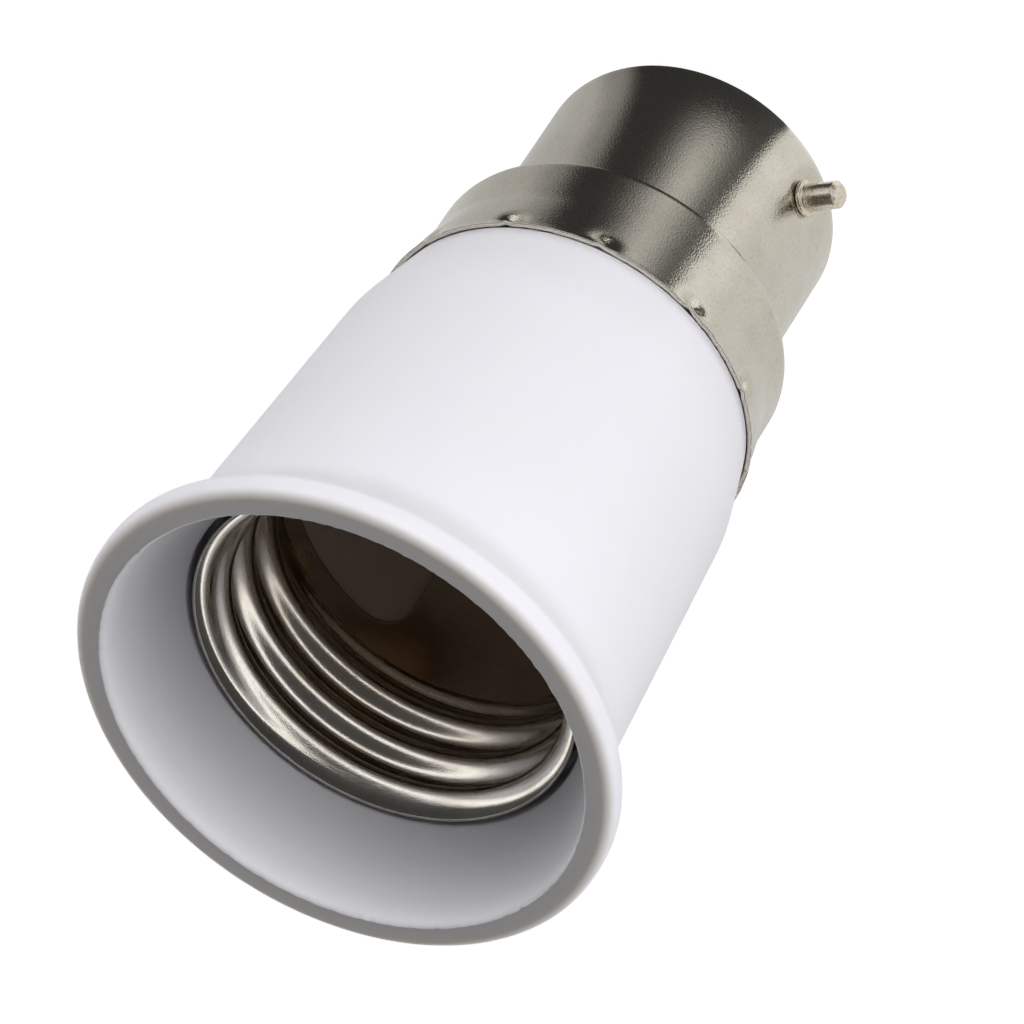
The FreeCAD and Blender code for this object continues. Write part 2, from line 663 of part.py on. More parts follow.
def make_shell():
    """The screw shell, one piece of thin sheet: lip, rolled thread, collar, two straps and two feet."""
    sheet = number("shell_sheet")
    inner = number("thread_crest_radius + thread_depth / 2")
    outer = inner + sheet
    floor = number("floor_height")
    foot = number("thread_foot_height")
    window = number("window_height")
    half = number("window_half_width")
    neck = number("foot_neck")
    wide = number("foot_width")
    threaded = thread_wall(sheet).cut(thread_wall(0.0))
    tube = Part.makeCylinder(outer, foot - floor, Vector(0, 0, floor))
    tube = tube.cut(Part.makeCylinder(inner, foot - floor, Vector(0, 0, floor)))
    opening = Part.makeBox(2 * half, 4 * outer, window - floor, Vector(-half, -2 * outer, floor))
    corners = [
        edge for edge in opening.Edges
        if same(edge.Length, 4 * outer) and same(edge.CenterOfMass.z, window)
    ]
    tube = tube.cut(opening.makeFillet(number("window_rounding"), corners))
    for along in (wide / 2, -wide / 2 - outer):
        tube = tube.cut(Part.makeBox(2 * outer, outer, neck, Vector(-outer, along, floor)))
    reach = outer - number("foot_inner")
    for side, start in ((1, number("foot_inner")), (-1, -outer)):
        plate = Part.makeBox(reach, wide, sheet, Vector(start, -wide / 2, floor))
        plate = plate.common(Part.makeCylinder(outer, sheet, Vector(0, 0, floor)))
        eye = Vector(side * number("shell_rivet_offset"), 0, floor)
        plate = plate.cut(Part.makeCylinder(number("rivet_radius + fit_gap"), sheet, eye))
        tube = tube.fuse(plate)
    tube = tube.removeSplitter()
    tube = with_bend(tube, inner, floor + sheet, number("foot_bend"))
    tube = with_bend(tube, outer, floor, number("foot_bend") + sheet)
    return plain_part("screw_shell", threaded.fuse(tube).removeSplitter())


def with_bend(shape, radius, height, bend):
    """Rounds the two edges where the straps turn in to the feet."""
    edges = [
        edge for edge in shape.Edges
        if isinstance(edge.Curve, Part.Circle)
        and same(edge.Curve.Radius, radius)
        and same(edge.CenterOfMass.z, height)
    ]
    return shape.makeFillet(bend, edges)


def make_lead(label, start, end):
    """One insulated lead: up from its contact and over to its tag, in two arcs between straight ends."""
    low = number("boss_top_height")
    high = number("under_floor_height")
    first = low + number("tube_rise + solder_height + bare_gap")
    last = high - number("tag_thickness + solder_height + bare_gap")
    straight = number("lead_straight")
    gap = Vector(end.x - start.x, end.y - start.y, 0)
    reach = gap.Length
    way = gap.normalize()
    rise = last - first - 2 * straight
    turn = 2 * math.atan(reach / rise)
    bend = rise / math.sin(turn) / 2

    def place(across, height):
        return Vector(start.x + way.x * across, start.y + way.y * across, height)

    sideways = bend * (1 - math.cos(turn / 2))
    upward = bend * math.sin(turn / 2)
    curve_low = first + straight
    curve_high = last - straight
    middle = place(reach / 2, (curve_low + curve_high) / 2)
    on_low = place(sideways, curve_low + upward)
    on_high = place(reach - sideways, curve_high - upward)
    path = Part.Wire([
        Part.LineSegment(place(0, first), place(0, curve_low)).toShape(),
        Part.Arc(place(0, curve_low), on_low, middle).toShape(),
        Part.Arc(middle, on_high, place(reach, curve_high)).toShape(),
        Part.LineSegment(place(reach, curve_high), place(reach, last)).toShape(),
    ])
    section = Part.Wire(Part.makeCircle(number("lead_radius"), place(0, first)))
    lead = path.makePipeShell([section], True, True)
    wire = number("wire_radius")
    lead = lead.fuse(Part.makeCylinder(wire, first - low + straight, place(0, low)))
    lead = lead.fuse(Part.makeCylinder(wire, high - last + straight, place(reach, last - straight)))
    return plain_part(label, lead.removeSplitter())


def make_cap_end():
    """What the cap's end carries: pins, insulator, and the contacts with their solder."""
    make_insulator()
    for name, side in (("front", -1), ("rear", 1)):
        along = f"{side} * contact_spacing / 2"
        make_pin("bayonet_pin_" + name, side)
        make_contact("cap_contact_" + name, side)
        make_solder("contact_solder_" + name, "0", along, "tube_top_height", "tube_radius", 1)


def make_socket():
    """What the floor of the socket carries: shell, leaf and their rivets, tags and leads."""
    make_shell()
    make_leaf()
    on_foot = "floor_height + shell_sheet"
    on_leaf = "floor_height + leaf_thickness"
    make_rivet("shell_rivet_right", "shell_rivet_offset", "0", "under_tag_height", on_foot)
    make_rivet("shell_rivet_left", "-shell_rivet_offset", "0", "under_floor_height", on_foot)
    make_rivet("leaf_rivet", "0", "-leaf_rivet_offset", "under_tag_height", on_leaf)
    make_tag("shell_tag", "shell_rivet_offset", "0", 180)
    make_tag("leaf_tag", "0", "-leaf_rivet_offset", 90)
    to_shell = "shell_rivet_offset - tag_wire"
    to_leaf = "-leaf_rivet_offset + tag_wire"
    make_solder("shell_tag_solder", to_shell, "0", "under_tag_height", "tag_solder_radius", -1)
    make_solder("leaf_tag_solder", "0", to_leaf, "under_tag_height", "tag_solder_radius", -1)
    contact = number("contact_spacing / 2")
    make_lead("lead_shell", Vector(0, contact, 0), Vector(number(to_shell), 0, 0))
    make_lead("lead_leaf", Vector(0, -contact, 0), Vector(0, number(to_leaf), 0))


def check_and_write():
    """Stops if any feature failed, then writes each sub-part to a file of its own."""
    DOC.recompute()
    for item in DOC.Objects:
        if "Invalid" in item.State or "Error" in item.State:
            raise RuntimeError(f"{item.Name} failed: {item.State}")
    os.makedirs("parts", exist_ok=True)
    for piece in PARTS:
        shape = piece.Shape
        if shape.isNull() or not shape.isValid() or len(shape.Solids) != 1:
            raise RuntimeError(f"{piece.Label} is not one valid solid")
        shape.exportStep(f"parts/{piece.Label}.step")
        print(piece.Label, "volume", round(shape.Volume, 2), "faces", len(shape.Faces))


fill_sheet()
make_housing()
make_cap()
make_cap_end()
make_socket()
check_and_write()
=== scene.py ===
import json
import math
import random

import bmesh
import bpy
import numpy as np
from mathutils import Matrix, Vector


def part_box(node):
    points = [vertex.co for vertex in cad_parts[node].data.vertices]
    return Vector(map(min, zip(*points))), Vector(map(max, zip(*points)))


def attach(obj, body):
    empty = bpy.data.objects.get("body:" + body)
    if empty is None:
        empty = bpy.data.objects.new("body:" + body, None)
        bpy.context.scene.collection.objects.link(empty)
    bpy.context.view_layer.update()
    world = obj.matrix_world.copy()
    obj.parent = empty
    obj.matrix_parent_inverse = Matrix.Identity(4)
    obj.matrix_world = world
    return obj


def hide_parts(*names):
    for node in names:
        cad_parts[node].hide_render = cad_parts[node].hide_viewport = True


bl_info = {
    "name": "Lamp Socket Adapter",
    "version": (1, 0, 0),
    "blender": (4, 5, 0),
    "location": "3D View > Sidebar > Lamp Adapter",
    "description": "Builds a bayonet-to-screw lamp socket adapter "
    "with its finishes, floor, lamps and camera",
    "category": "Add Mesh",
}

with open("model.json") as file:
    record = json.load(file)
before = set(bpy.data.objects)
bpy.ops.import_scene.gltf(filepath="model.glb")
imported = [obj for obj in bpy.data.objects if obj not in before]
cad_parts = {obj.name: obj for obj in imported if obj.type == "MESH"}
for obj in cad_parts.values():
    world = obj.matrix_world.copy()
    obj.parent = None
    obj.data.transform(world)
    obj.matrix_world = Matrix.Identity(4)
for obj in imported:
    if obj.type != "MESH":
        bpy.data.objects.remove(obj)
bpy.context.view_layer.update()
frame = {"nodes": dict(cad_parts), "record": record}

MM = 0.001
TURN = 2 * math.pi
TINY = 1e-6  # slack in comparisons of lengths and bearings
AROUND = 360  # facets round the housing and the shell
CAP_AROUND = 480  # facets round the cap, whose punched marks are small
PIN_AROUND = 72
ARC_STEP = math.radians(9)  # turn between two points of a rounded corner
CAP_OUTER_STEP = math.radians(5)  # the same outside the cap, where the light shows each facet
CAP_INNER_STEP = math.radians(18)
SHARP_ANGLE = math.radians(40)  # edges that turn more than this are shaded sharp
CARRIED_SHARP_ANGLE = math.radians(35)  # the same on the pieces carried over from the solids

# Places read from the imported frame, in millimetres
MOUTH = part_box("body_housing")[1].z / MM
RIM_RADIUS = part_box("body_housing")[1].x / MM
SKIRT_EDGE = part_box("bayonet_cap")[1].z / MM
CAP_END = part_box("bayonet_cap")[0].z / MM
PIN_REACH = -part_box("bayonet_pin_front")[0].y / MM
SHELL_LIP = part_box("screw_shell")[1].z / MM
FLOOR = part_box("screw_shell")[0].z / MM

# Inside of the housing, mm
THREAD_GAP = 0.3  # outside of the thread to its bore
STRAP_GAP = 0.2  # outside of the straps to their bore
STRAP_BORE_TOP = 42.0  # height where the straps' bore ends
THREAD_BORE_FOOT = 42.5  # height where the thread's bore begins
LEDGE_DEPTH = 2.6  # foot of the flare to the ledge under the shell's lip
LEDGE_DRAFT = 0.1  # how much the bore narrows on the way there
HOLLOW_RADIUS = 11.2  # hollow under the socket's floor
FLOOR_THICKNESS = 3.2
SEAT_BEVEL = (0.6, 0.5)  # inwards and down, where the wall enters the skirt
SEAT_SLACK = 0.4  # room between the wall and the straight part of the skirt
HOUSING_SPACING = 1.6  # longest facet along the outline

# Slightly ragged inner edge of the rim, mm
BURR = 0.045  # usual reach inwards
BURR_INSET = 0.05  # from the rim's face and from its bore to the middle of the burr
BURR_FADE_DOWN = 0.14
BURR_FADE_ACROSS = 0.16

# Drawn cap, mm
END_HOLE = 8.0  # radius of the opening in the cap's end
SKIRT_INNER_BEND = (0.3, 1.8)  # in from the skirt's edge and down from it
EDGE_ZONE = 2.2  # how far from the skirt's edge the facets are finest
EDGE_SPACING, SKIRT_SPACING, BARREL_SPACING, INNER_SPACING = 0.16, 0.8, 0.4, 1.5
PUNCHED_FROM = 2.5  # shoulder to where the skirt's marks may begin
DIMPLE_DEPTH = 0.24  # pressed into the barrel round each pin
DIMPLE_FLAT = 1.3
DIMPLE_FADE = 0.9
DIMPLE_LIMIT = 2  # the dimples end this far below the shoulder

# Crimp marks at the skirt's edge, mm
CRIMPS = (21, 51, 82, 111, 141, 171, 200, 231, 261, 291, 322, 351)  # bearings in degrees
CRIMP_DEPTHS = (0.5, 0.42, 0.55)  # taken in turn
CRIMP_PLACE = 0.75  # skirt's edge to the middle of a mark
CRIMP_WIDTH = 1.05
CRIMP_TO_EDGE, CRIMP_FROM_EDGE = 0.36, 0.7  # how fast a mark fades, steep towards the edge
NICK_DEPTH, NICK_ASIDE, NICK_WIDTH = 0.2, 0.2, 0.32
EDGE_BAND = 0.3  # how far from the edge it is flared and rough
EDGE_FLARE = 0.05
EDGE_ROUGH = 0.018

# Bayonet pin, mm
PIN_FOOT = (1.7, 0.6)  # radius and thickness of the foot inside the barrel
PIN_COLLAR = (1.3, 0.32)  # radius and height of the collar in the dimple
COLLAR_SUNK = 0.22  # collar's base below the barrel's surface
PIN_TIP_BEVEL = 0.3

# Rolled shell, mm
THREAD_FOOT = 43.2  # height where the thread ends and the collar begins
THREAD_FADE = 1.8  # length over which the thread dies away
THREAD_START = (math.radians(160), 53.6)  # bearing and height of the uppermost ridge
LIP_CURL = 1.1
WINDOW_TOP = 41.2
WINDOW_HALF = 8.1  # half the distance across between a window's upright edges
WINDOW_CORNER = 2.5
FOOT_HALF = 4.0  # half the width of a foot
FOOT_TIP = 7.2  # axis to the end of a foot
FOOT_BEND = 0.3  # inside radius of the bend between strap and foot
FOOT_RISE = 1.0  # floor to where a strap narrows to its foot
FOOT_RUN = (1.5, 2.5, 3.5, 4.5)  # places along a foot, from the strap inwards
CURL_ROWS, COLLAR_ROWS, STRAP_ROWS, BEND_ROWS = 8, 6, 8, 6
THREAD_ROWS = 24  # rows of facets in one turn of the thread

# Places where painted shade and painted reflection change, mm
RIM_FACE = (MOUTH - 0.5, MOUTH - 0.02)
RIM_PAINTED_SHADE_RADII = (17.6, 18.9)
BORE_SHADE_FROM = (28, 30)
BORE_SHADE_TO = (47, 54)
BORE_WALL = (14.2, 14.5)
SHELL_PAINTED_REFLECTION_TO = (42, 55)

# Second tones of the finishes, among them painted shade and painted reflection
# Painted shade of the rim's face: grey, cool at its inner edge and warm at its outer one
RIM_INNER_PAINTED_SHADE = (0.655, 0.64, 0.65)
RIM_OUTER_PAINTED_SHADE = (0.7, 0.655, 0.605)
# Painted warm shade deep in the bore
BORE_PAINTED_WARM_SHADE = (0.74, 0.6, 0.46)
CAP_STAIN = (0.55, 0.49, 0.42)
CAP_PALE = (0.74, 0.71, 0.65)
CAP_PIT = (0.34, 0.3, 0.26)
PIN_TARNISH = (0.46, 0.35, 0.2)
SHELL_CLOUD = (0.5, 0.44, 0.36)
# Painted warm reflection deep in the shell
SHELL_PAINTED_WARM_REFLECTION = (0.54, 0.46, 0.36)
SHELL_STREAK = (0.42, 0.39, 0.37)
BRASS_TARNISH = (0.46, 0.31, 0.13)
BRONZE_TARNISH = (0.4, 0.24, 0.13)
SOLDER_TARNISH = (0.4, 0.4, 0.41)
INSULATOR_DUST = (0.055, 0.052, 0.05)
LEAD_GRIME = (0.52, 0.52, 0.5)

# Stage, in metres and degrees
FLOOR_HALF = 2.0
FLOOR_LEVEL = -0.03 * MM
FLOOR_TINT = (0.86, 0.86, 0.87, 1.0)
FLOOR_GLOW = 0.8
# A card that glows only for shiny rays, painting dark and pale reflections in the cap
CARD_RADII = (0.0076, 0.12)
CARD_LEVEL = 0.0002
CARD_TINT = (1, 1, 0.98, 1)
CARD_STEPS = 72
PATCH_INNER, PATCH_OUTER = (0.015, 0.02), (0.045, 0.055)  # soft edges of the card's glowing patch, a painted highlight in the cap's reflection
PATCH_BEARING, PATCH_WIDTH, PAINTED_HIGHLIGHT_GLOW = -44, 13, 0.55
KEY_BEARING, KEY_RISE, KEY_DISTANCE, KEY_SIZE = -58, 13, 0.5, (0.8, 0.3)
KEY_AIM = (0, 0, 0.03)
LOW_LIGHT_TOP = 0.31  # how high the room's low light reaches, from level at nought to one overhead
SHINE = 1.4  # strength of what shiny surfaces see of the room
SENSOR_WIDTH = 36.0
CLIP = (0.01, 20)
CAMERA_AIM = (-0.001382, -0.001159, 0.037425)
WHITE = (1, 1, 1, 1)

# Bearings on the floor round the cap, in degrees, and how brightly the card glows there, a painted
# reflection in the cap
CARD_PAINTED_REFLECTION_TONES = (
    (-180, 0.7),
    (-120, 0.76),
    (-95, 0.8),
    (-82, 0.95),
    (-72, 0.9),
    (-68, 0.08),
    (-50, 0.05),
    (-18, 0.04),
    (0, 0.04),
    (13, 0.3),
    (28, 0.5),
    (55, 0.54),
    (80, 0.66),
    (110, 0.9),
    (180, 0.62),
)

# How high a shiny surface looks, from level at nought to one overhead, and how bright it is there
SHINE_TONES = (
    (0.0, 0.46),
    (0.26, 0.46),
    (0.36, 0.3),
    (0.43, 1.0),
    (0.52, 1.0),
    (0.57, 0.07),
    (0.8, 0.05),
    (1.0, 0.04),
)


def length_mm(name, default, description):
    """A length in millimetres that a user can change."""
    return bpy.props.FloatProperty(
        name=name, default=default, description=description + ", mm", min=0.0
    )


def colour(name, default, description):
    """A colour that a user can change."""
    return bpy.props.FloatVectorProperty(
        name=name,
        default=default,
        description=description,
        subtype="COLOR",
        size=3,
        min=0.0,
        max=1.0,
    )


def share(name, default, description):
    """A number from nought to one that a user can change."""
    return bpy.props.FloatProperty(
        name=name, default=default, description=description, subtype="FACTOR", min=0.0, max=1.0
    )


def angle(name, degrees, description):
    """An angle that a user can change."""
    return bpy.props.FloatProperty(
        name=name, default=math.radians(degrees), subtype="ANGLE", description=description
    )


class AdapterSizes(bpy.types.PropertyGroup):
    """Sizes of the pieces that are built here instead of carried over from the solids."""

    rim_rounding: length_mm("Rim front edge", 0.8, "Rounding of the rim's front edge")
    rim_back_rounding: length_mm("Rim back edge", 0.9, "Rounding of the rim's back edge")
    rim_side: length_mm("Rim side", 1.8, "Length of the rim's outer side")
    rim_width: length_mm("Rim width", 2.02, "Face of the rim, outside to inside")
    rim_chamfer: length_mm("Rim inner edge", 0.12, "Bevel of the rim's inner edge")
    crease_depth: length_mm("Crease depth", 2.1, "Rim face to the crease in the flare")
    crease_inset: length_mm("Crease inset", 0.4, "Rim's inner edge to the crease, across")
    flare_length: length_mm("Flare length", 5.8, "Rim face to where the outer taper ends")
    flare_hollow: length_mm("Flare hollow", 5.0, "Hollow curve under the rim")
    taper_top: length_mm("Taper top", 16.63, "Radius of the housing where the flare begins")
    neck: length_mm("Neck", 15.06, "Radius of the housing where the neck begins")
    neck_height: length_mm("Neck height", 5.6, "Skirt's edge to where the neck begins")
    neck_rounding: length_mm("Neck rounding", 9.0, "Rounding between the neck and the taper")
    mouth_bore: length_mm("Mouth bore", 14.5, "Radius of the bore at the foot of the flare")
    mouth_bore_depth: length_mm("Mouth bore depth", 7.0, "Rim face to the foot of the flare")
    barrel: length_mm("Barrel", 11.0, "Radius of the cap's barrel")
    cap_sheet: length_mm("Cap sheet", 0.35, "Thickness of the cap's metal")
    shoulder: length_mm("Shoulder", 16.2, "Height of the cap's shoulder")
    skirt_top: length_mm("Skirt top", 13.33, "Radius of the skirt's straight part")
    skirt_straight: length_mm("Skirt straight part", 4.5, "Shoulder to where the skirt widens")
    skirt_edge: length_mm("Skirt edge", 14.18, "Radius of the skirt at its edge")
    seat_gap: length_mm("Seat gap", 0.06, "Housing to the inside of the skirt")
    pin_height: length_mm("Pin height", 5.0, "Height of the bayonet pins")
    pin_radius: length_mm("Pin", 1.0, "Radius of a bayonet pin")
    thread_pitch: length_mm("Thread pitch", 3.629, "Rise of one turn of the screw thread")
    thread_crest: length_mm("Thread crest", 12.25, "Radius inside the ridges")
    thread_depth: length_mm("Thread depth", 1.1, "Ridge to groove")
    shell_sheet: length_mm("Shell sheet", 0.3, "Thickness of the shell's metal")
    lip: length_mm("Shell lip", 14.15, "Radius outside the shell's curled lip")


class AdapterFinishes(bpy.types.PropertyGroup):
    """Colours and gloss of the finishes."""

    housing: colour("Housing", (0.84, 0.83, 0.875), "White moulded housing")
    housing_gloss: share("Housing roughness", 0.42, "Roughness of the moulded housing")
    cap_metal: colour("Cap", (0.68, 0.645, 0.565), "Matt nickel plate of the cap")
    cap_gloss: share("Cap roughness", 0.13, "Roughness of the matt nickel plate")
    pin_metal: colour("Pins", (0.78, 0.72, 0.62), "Warm nickel plate of the pins")
    shell_metal: colour("Shell", (0.7, 0.665, 0.61), "Bright nickel plate of the screw shell")
    brass: colour("Brass", (0.72, 0.53, 0.26), "Contacts, rivets and tags")
    bronze: colour("Spring bronze", (0.66, 0.42, 0.24), "Centre contact")
    insulator: colour("Insulator", (0.035, 0.034, 0.033), "Moulded disc of the cap")
    solder: colour("Solder", (0.6, 0.6, 0.62), "Beads of solder")
    insulation: colour("Lead", (0.62, 0.62, 0.6), "Insulation of the leads")


class AdapterStage(bpy.types.PropertyGroup):
    """Camera and light."""

    camera_bearing: angle("Camera bearing", -50.0, "Round the axis from +X")
    camera_rise: angle("Camera rise", 42.64, "Above the floor")
    camera_roll: angle("Camera roll", 146.83, "Turn about the view")
    camera_distance: bpy.props.FloatProperty(
        name="Camera distance",
        default=0.56177,
        unit="LENGTH",
        description="From the point aimed at",
    )
    lens: bpy.props.FloatProperty(
        name="Lens", default=291.5, description="Focal length on a 36 mm sensor"
    )
    key: bpy.props.FloatProperty(
        name="Key lamp", default=1.2, unit="POWER", description="Low soft lamp"
    )
    horizon: bpy.props.FloatProperty(
        name="Light from all round", default=4.75, description="Low light of the room"
    )
    overhead: bpy.props.FloatProperty(
        name="Light from above", default=0.09, description="Light of the ceiling"
    )


# Outlines and meshes


def arc_corner(before, corner, after, radius, arc_step):
    """Points of the arc that rounds one corner of an outline, or the corner of a straight run."""
    here = np.array(corner, float)
    back = np.array(before, float) - here
    ahead = np.array(after, float) - here
    back_way = back / np.linalg.norm(back)
    ahead_way = ahead / np.linalg.norm(ahead)
    inside = math.acos(max(-1.0, min(1.0, float(back_way @ ahead_way))))
    if abs(math.pi - inside) < 1e-4:
        return [here]
    reach = radius / math.tan(inside / 2)
    bisector = back_way + ahead_way
    centre = here + bisector / np.linalg.norm(bisector) * radius / math.sin(inside / 2)
    x, y = here + back_way * reach - centre
    sweep = math.pi - inside
    steps = max(2, math.ceil(sweep / arc_step))
    side = 1.0 if back_way[0] * ahead_way[1] - back_way[1] * ahead_way[0] < 0 else -1.0
    points = []
    for index in range(steps + 1):
        turn = side * sweep * index / steps
        cos, sin = math.cos(turn), math.sin(turn)
        points.append(centre + np.array([x * cos - y * sin, x * sin + y * cos]))
    return points


def outline(corners, longest=None, arc_step=ARC_STEP):
    """A path of radius and height. Each corner is radius, height and its rounding.

    Runs longer than longest, which is a length or gives one for a height, are divided.
    """
    path = []
    last = len(corners) - 1
    for index, (across, up, rounding) in enumerate(corners):
        if index in (0, last) or rounding <= 0:
            path.append(np.array([across, up], float))
        else:
            before, after = corners[index - 1][:2], corners[index + 1][:2]
            path += arc_corner(before, (across, up), after, rounding, arc_step)
    if longest is None:
        return np.array(path)
    divided = [path[0]]
    for start, end in zip(path, path[1:]):
        limit = longest(max(start[1], end[1])) if callable(longest) else longest
        pieces = max(1, math.ceil(np.linalg.norm(end - start) / limit))
        divided += [start + (end - start) * step / pieces for step in range(1, pieces + 1)]
    return np.array(divided)


def new_object(name, vertices, faces):
    """A mesh object from points in millimetres, shaded smooth apart from its sharp edges."""
    mesh = bpy.data.meshes.new(name)
    mesh.from_pydata((np.asarray(vertices) * MM).tolist(), [], faces)
    shape = bmesh.new()
    shape.from_mesh(mesh)
    bmesh.ops.remove_doubles(shape, verts=shape.verts, dist=1e-7)
    bmesh.ops.dissolve_degenerate(shape, edges=shape.edges, dist=1e-8)
    bmesh.ops.recalc_face_normals(shape, faces=shape.faces)
    shape.to_mesh(mesh)
    shape.free()
    mesh.shade_smooth()
    mesh.set_sharp_from_angle(angle=SHARP_ANGLE)
    piece = bpy.data.objects.new(name, mesh)
    bpy.context.scene.collection.objects.link(piece)
    return piece


def grid_faces(rows, columns, round_axis):
    """Quads between neighbouring points of a grid, row after row. Rows round the axis close."""
    faces = []
    for row in range(rows - 1):
        for column in range(columns if round_axis else columns - 1):
            here, above = row * columns, (row + 1) * columns
            beside = (column + 1) % columns
            faces.append((here + column, here + beside, above + beside, above + column))
    return faces


def add_grid(vertices, faces, rows, round_axis=False):
    """Adds rows of points to a mesh in the making, and the quads between them."""
    start = len(vertices)
    for row in rows:
        vertices += row.tolist()
    for face in grid_faces(len(rows), len(rows[0]), round_axis):
        faces.append(tuple(start + corner for corner in face))


def row_of_points(across, along, height):
    """Points of one row from three coordinates, each a number or one number a point."""
    return np.stack(np.broadcast_arrays(across, along, height), -1)


def turned(name, path, around=AROUND, wander=None):
    """Turns an outline about the axis. wander gives each point's change of radius and height."""
    bearing = np.arange(around) * TURN / around
    radius = np.repeat(path[:, 0][:, None], around, axis=1)
    height = np.repeat(path[:, 1][:, None], around, axis=1)
    if wander is not None:
        across, up = wander(np.broadcast_to(bearing, radius.shape), radius, height)
        radius = radius + across
        height = height + up
    vertices = row_of_points(radius * np.cos(bearing), radius * np.sin(bearing), height)
    return new_object(name, vertices.reshape(-1, 3), grid_faces(len(path), around, True))


def waves(bearing, seed, slowest, fastest, count=14):
    """A smooth wandering number round the axis, about plus or minus one, the same on each run."""
    chance = random.Random(seed)
    total = np.zeros_like(bearing, dtype=float)
    for _ in range(count):
        speed = chance.randint(slowest, fastest)
        total = total + math.sqrt(2 / count) * np.cos(speed * bearing + chance.uniform(0, TURN))
    return total


def ease(amount):
    """Nought below nought, one above one, and soft between."""
    amount = np.clip(amount, 0.0, 1.0)
    return amount * amount * (3 - 2 * amount)


def near(value, middle, width):
    """One at the middle, falling softly to nought over the width."""
    return np.exp(-(((value - middle) / width) ** 2))


def between(bearing, middle):
    """The signed turn from one bearing to another."""
    return (bearing - middle + math.pi) % TURN - math.pi


def place_on_root(piece, slot, material, *nodes):
    """Makes a piece part of the object, in place of the solids that it stands for."""
    piece.data.materials.clear()
    piece.data.materials.append(material)
    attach(piece, "root")
    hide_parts(*nodes)


# Shader maths


def operator_pair(operation):
    """A Python operator and its reflected form, which both add one Math node."""

    def plain(self, other):
        return self.finish.maths(operation, self, other)

    def reflected(self, other):
        return self.finish.maths(operation, other, self)

    return plain, reflected


class Wire:
    """The value at a socket. Python's operators on it add Math nodes."""

    def __init__(self, finish, socket):
        self.finish = finish
        self.socket = socket

    __add__, __radd__ = operator_pair("ADD")
    __sub__, __rsub__ = operator_pair("SUBTRACT")
    __mul__, __rmul__ = operator_pair("MULTIPLY")
    __truediv__, __rtruediv__ = operator_pair("DIVIDE")
    __pow__, __rpow__ = operator_pair("POWER")


class Finish:
    """One procedural material, or the world's, and the nodes that make it."""

    def __init__(self, name, owner=None):
        self.owner = owner or bpy.data.materials.new(name)
        self.owner.use_nodes = True
        self.tree = self.owner.node_tree
        self.tree.nodes.clear()

    def node(self, kind, settings=None, values=None, output=0):
        """Adds a node: its settings first, then the values or links of its sockets."""
        item = self.tree.nodes.new("ShaderNode" + kind)
        for key, value in (settings or {}).items():
            if key == "stops":
                self.set_stops(item.color_ramp, value)
            elif key == "interpolation":
                item.color_ramp.interpolation = value
            else:
                setattr(item, key, value)
        for key, value in (values or {}).items():
            if isinstance(value, Wire):
                self.tree.links.new(value.socket, item.inputs[key])
            else:
                item.inputs[key].default_value = value
        return Wire(self, item.outputs[output]) if item.outputs else None

    def set_stops(self, ramp, stops):
        """Sets a ramp's stops, each a place and a grey."""
        while len(ramp.elements) < len(stops):
            ramp.elements.new(1.0)
        for element, (place, tone) in zip(ramp.elements, stops):
            element.position = place
            element.color = (tone, tone, tone, 1.0)

    def maths(self, operation, first, second=0.0):
        return self.node("Math", {"operation": operation}, {0: first, 1: second})

    def mix(self, amount, low, high):
        """Mixes two colours. In the Mix node, 6 and 7 take colours and output 2 gives one."""
        values = {0: amount, 6: self.as_colour(low), 7: self.as_colour(high)}
        return self.node("Mix", {"data_type": "RGBA"}, values, output=2)

    def as_colour(self, value):
        return value if isinstance(value, Wire) else (*value, 1.0)

    def noise(self, size, detail=4.0, rough=0.55, where=None):
        """Soft noise whose blobs are about this many millimetres."""
        values = {"Scale": 1 / (size * MM), "Detail": detail, "Roughness": rough}
        values["Vector"] = where or self.place()
        return self.node("TexNoise", None, values)

    def place(self):
        return self.node("TexCoord", output="Object")

    def stretched(self, across, along):
        """The place, with sideways and axial distances multiplied."""
        values = {"Vector": self.place(), "Scale": (across, across, along)}
        return self.node("Mapping", None, values)

    def part(self, letter):
        """One coordinate of the place, in metres."""
        return self.node("SeparateXYZ", None, {0: self.place()}, output=letter)

    def bearing(self):
        """Round the axis, in radians."""
        return self.maths("ARCTAN2", self.part("Y"), self.part("X"))

    def radius(self):
        """Distance from the axis, in metres."""
        return (self.part("X") ** 2 + self.part("Y") ** 2) ** 0.5

    def ramp(self, amount, stops, interpolation="LINEAR"):
        settings = {"stops": stops, "interpolation": interpolation}
        return self.node("ValToRGB", settings, {0: amount})

    def level(self, amount, low, high):
        """Nought below low, one above high, and soft between."""
        values = {0: amount, 1: low, 2: high, 3: 0.0, 4: 1.0}
        return self.node("MapRange", {"interpolation_type": "SMOOTHSTEP"}, values)

    def past(self, distance, edges):
        """Nought before the first of two places in millimetres, one past the second."""
        return self.level(distance, edges[0] * MM, edges[1] * MM)

    def bump(self, height, depth):
        """A bump this many millimetres deep."""
        return self.node("Bump", None, {"Height": height, "Distance": depth * MM})

    def surface(self, **values):
        """Ends the material in one Principled shader, whose sockets these are."""
        names = {key.replace("_", " ").title(): value for key, value in values.items()}
        shader = self.node("BsdfPrincipled", None, names)
        self.node("OutputMaterial", None, {"Surface": shader})
        return self.owner


def dimmed(tint, amount):
    return tuple(amount * part for part in tint)


def sizes():
    return bpy.context.scene.adapter_sizes


def finishes():
    return bpy.context.scene.adapter_finishes


def made(name, maker):
    """The material of this name, made at its first use."""
    return bpy.data.materials.get(name) or maker(name)


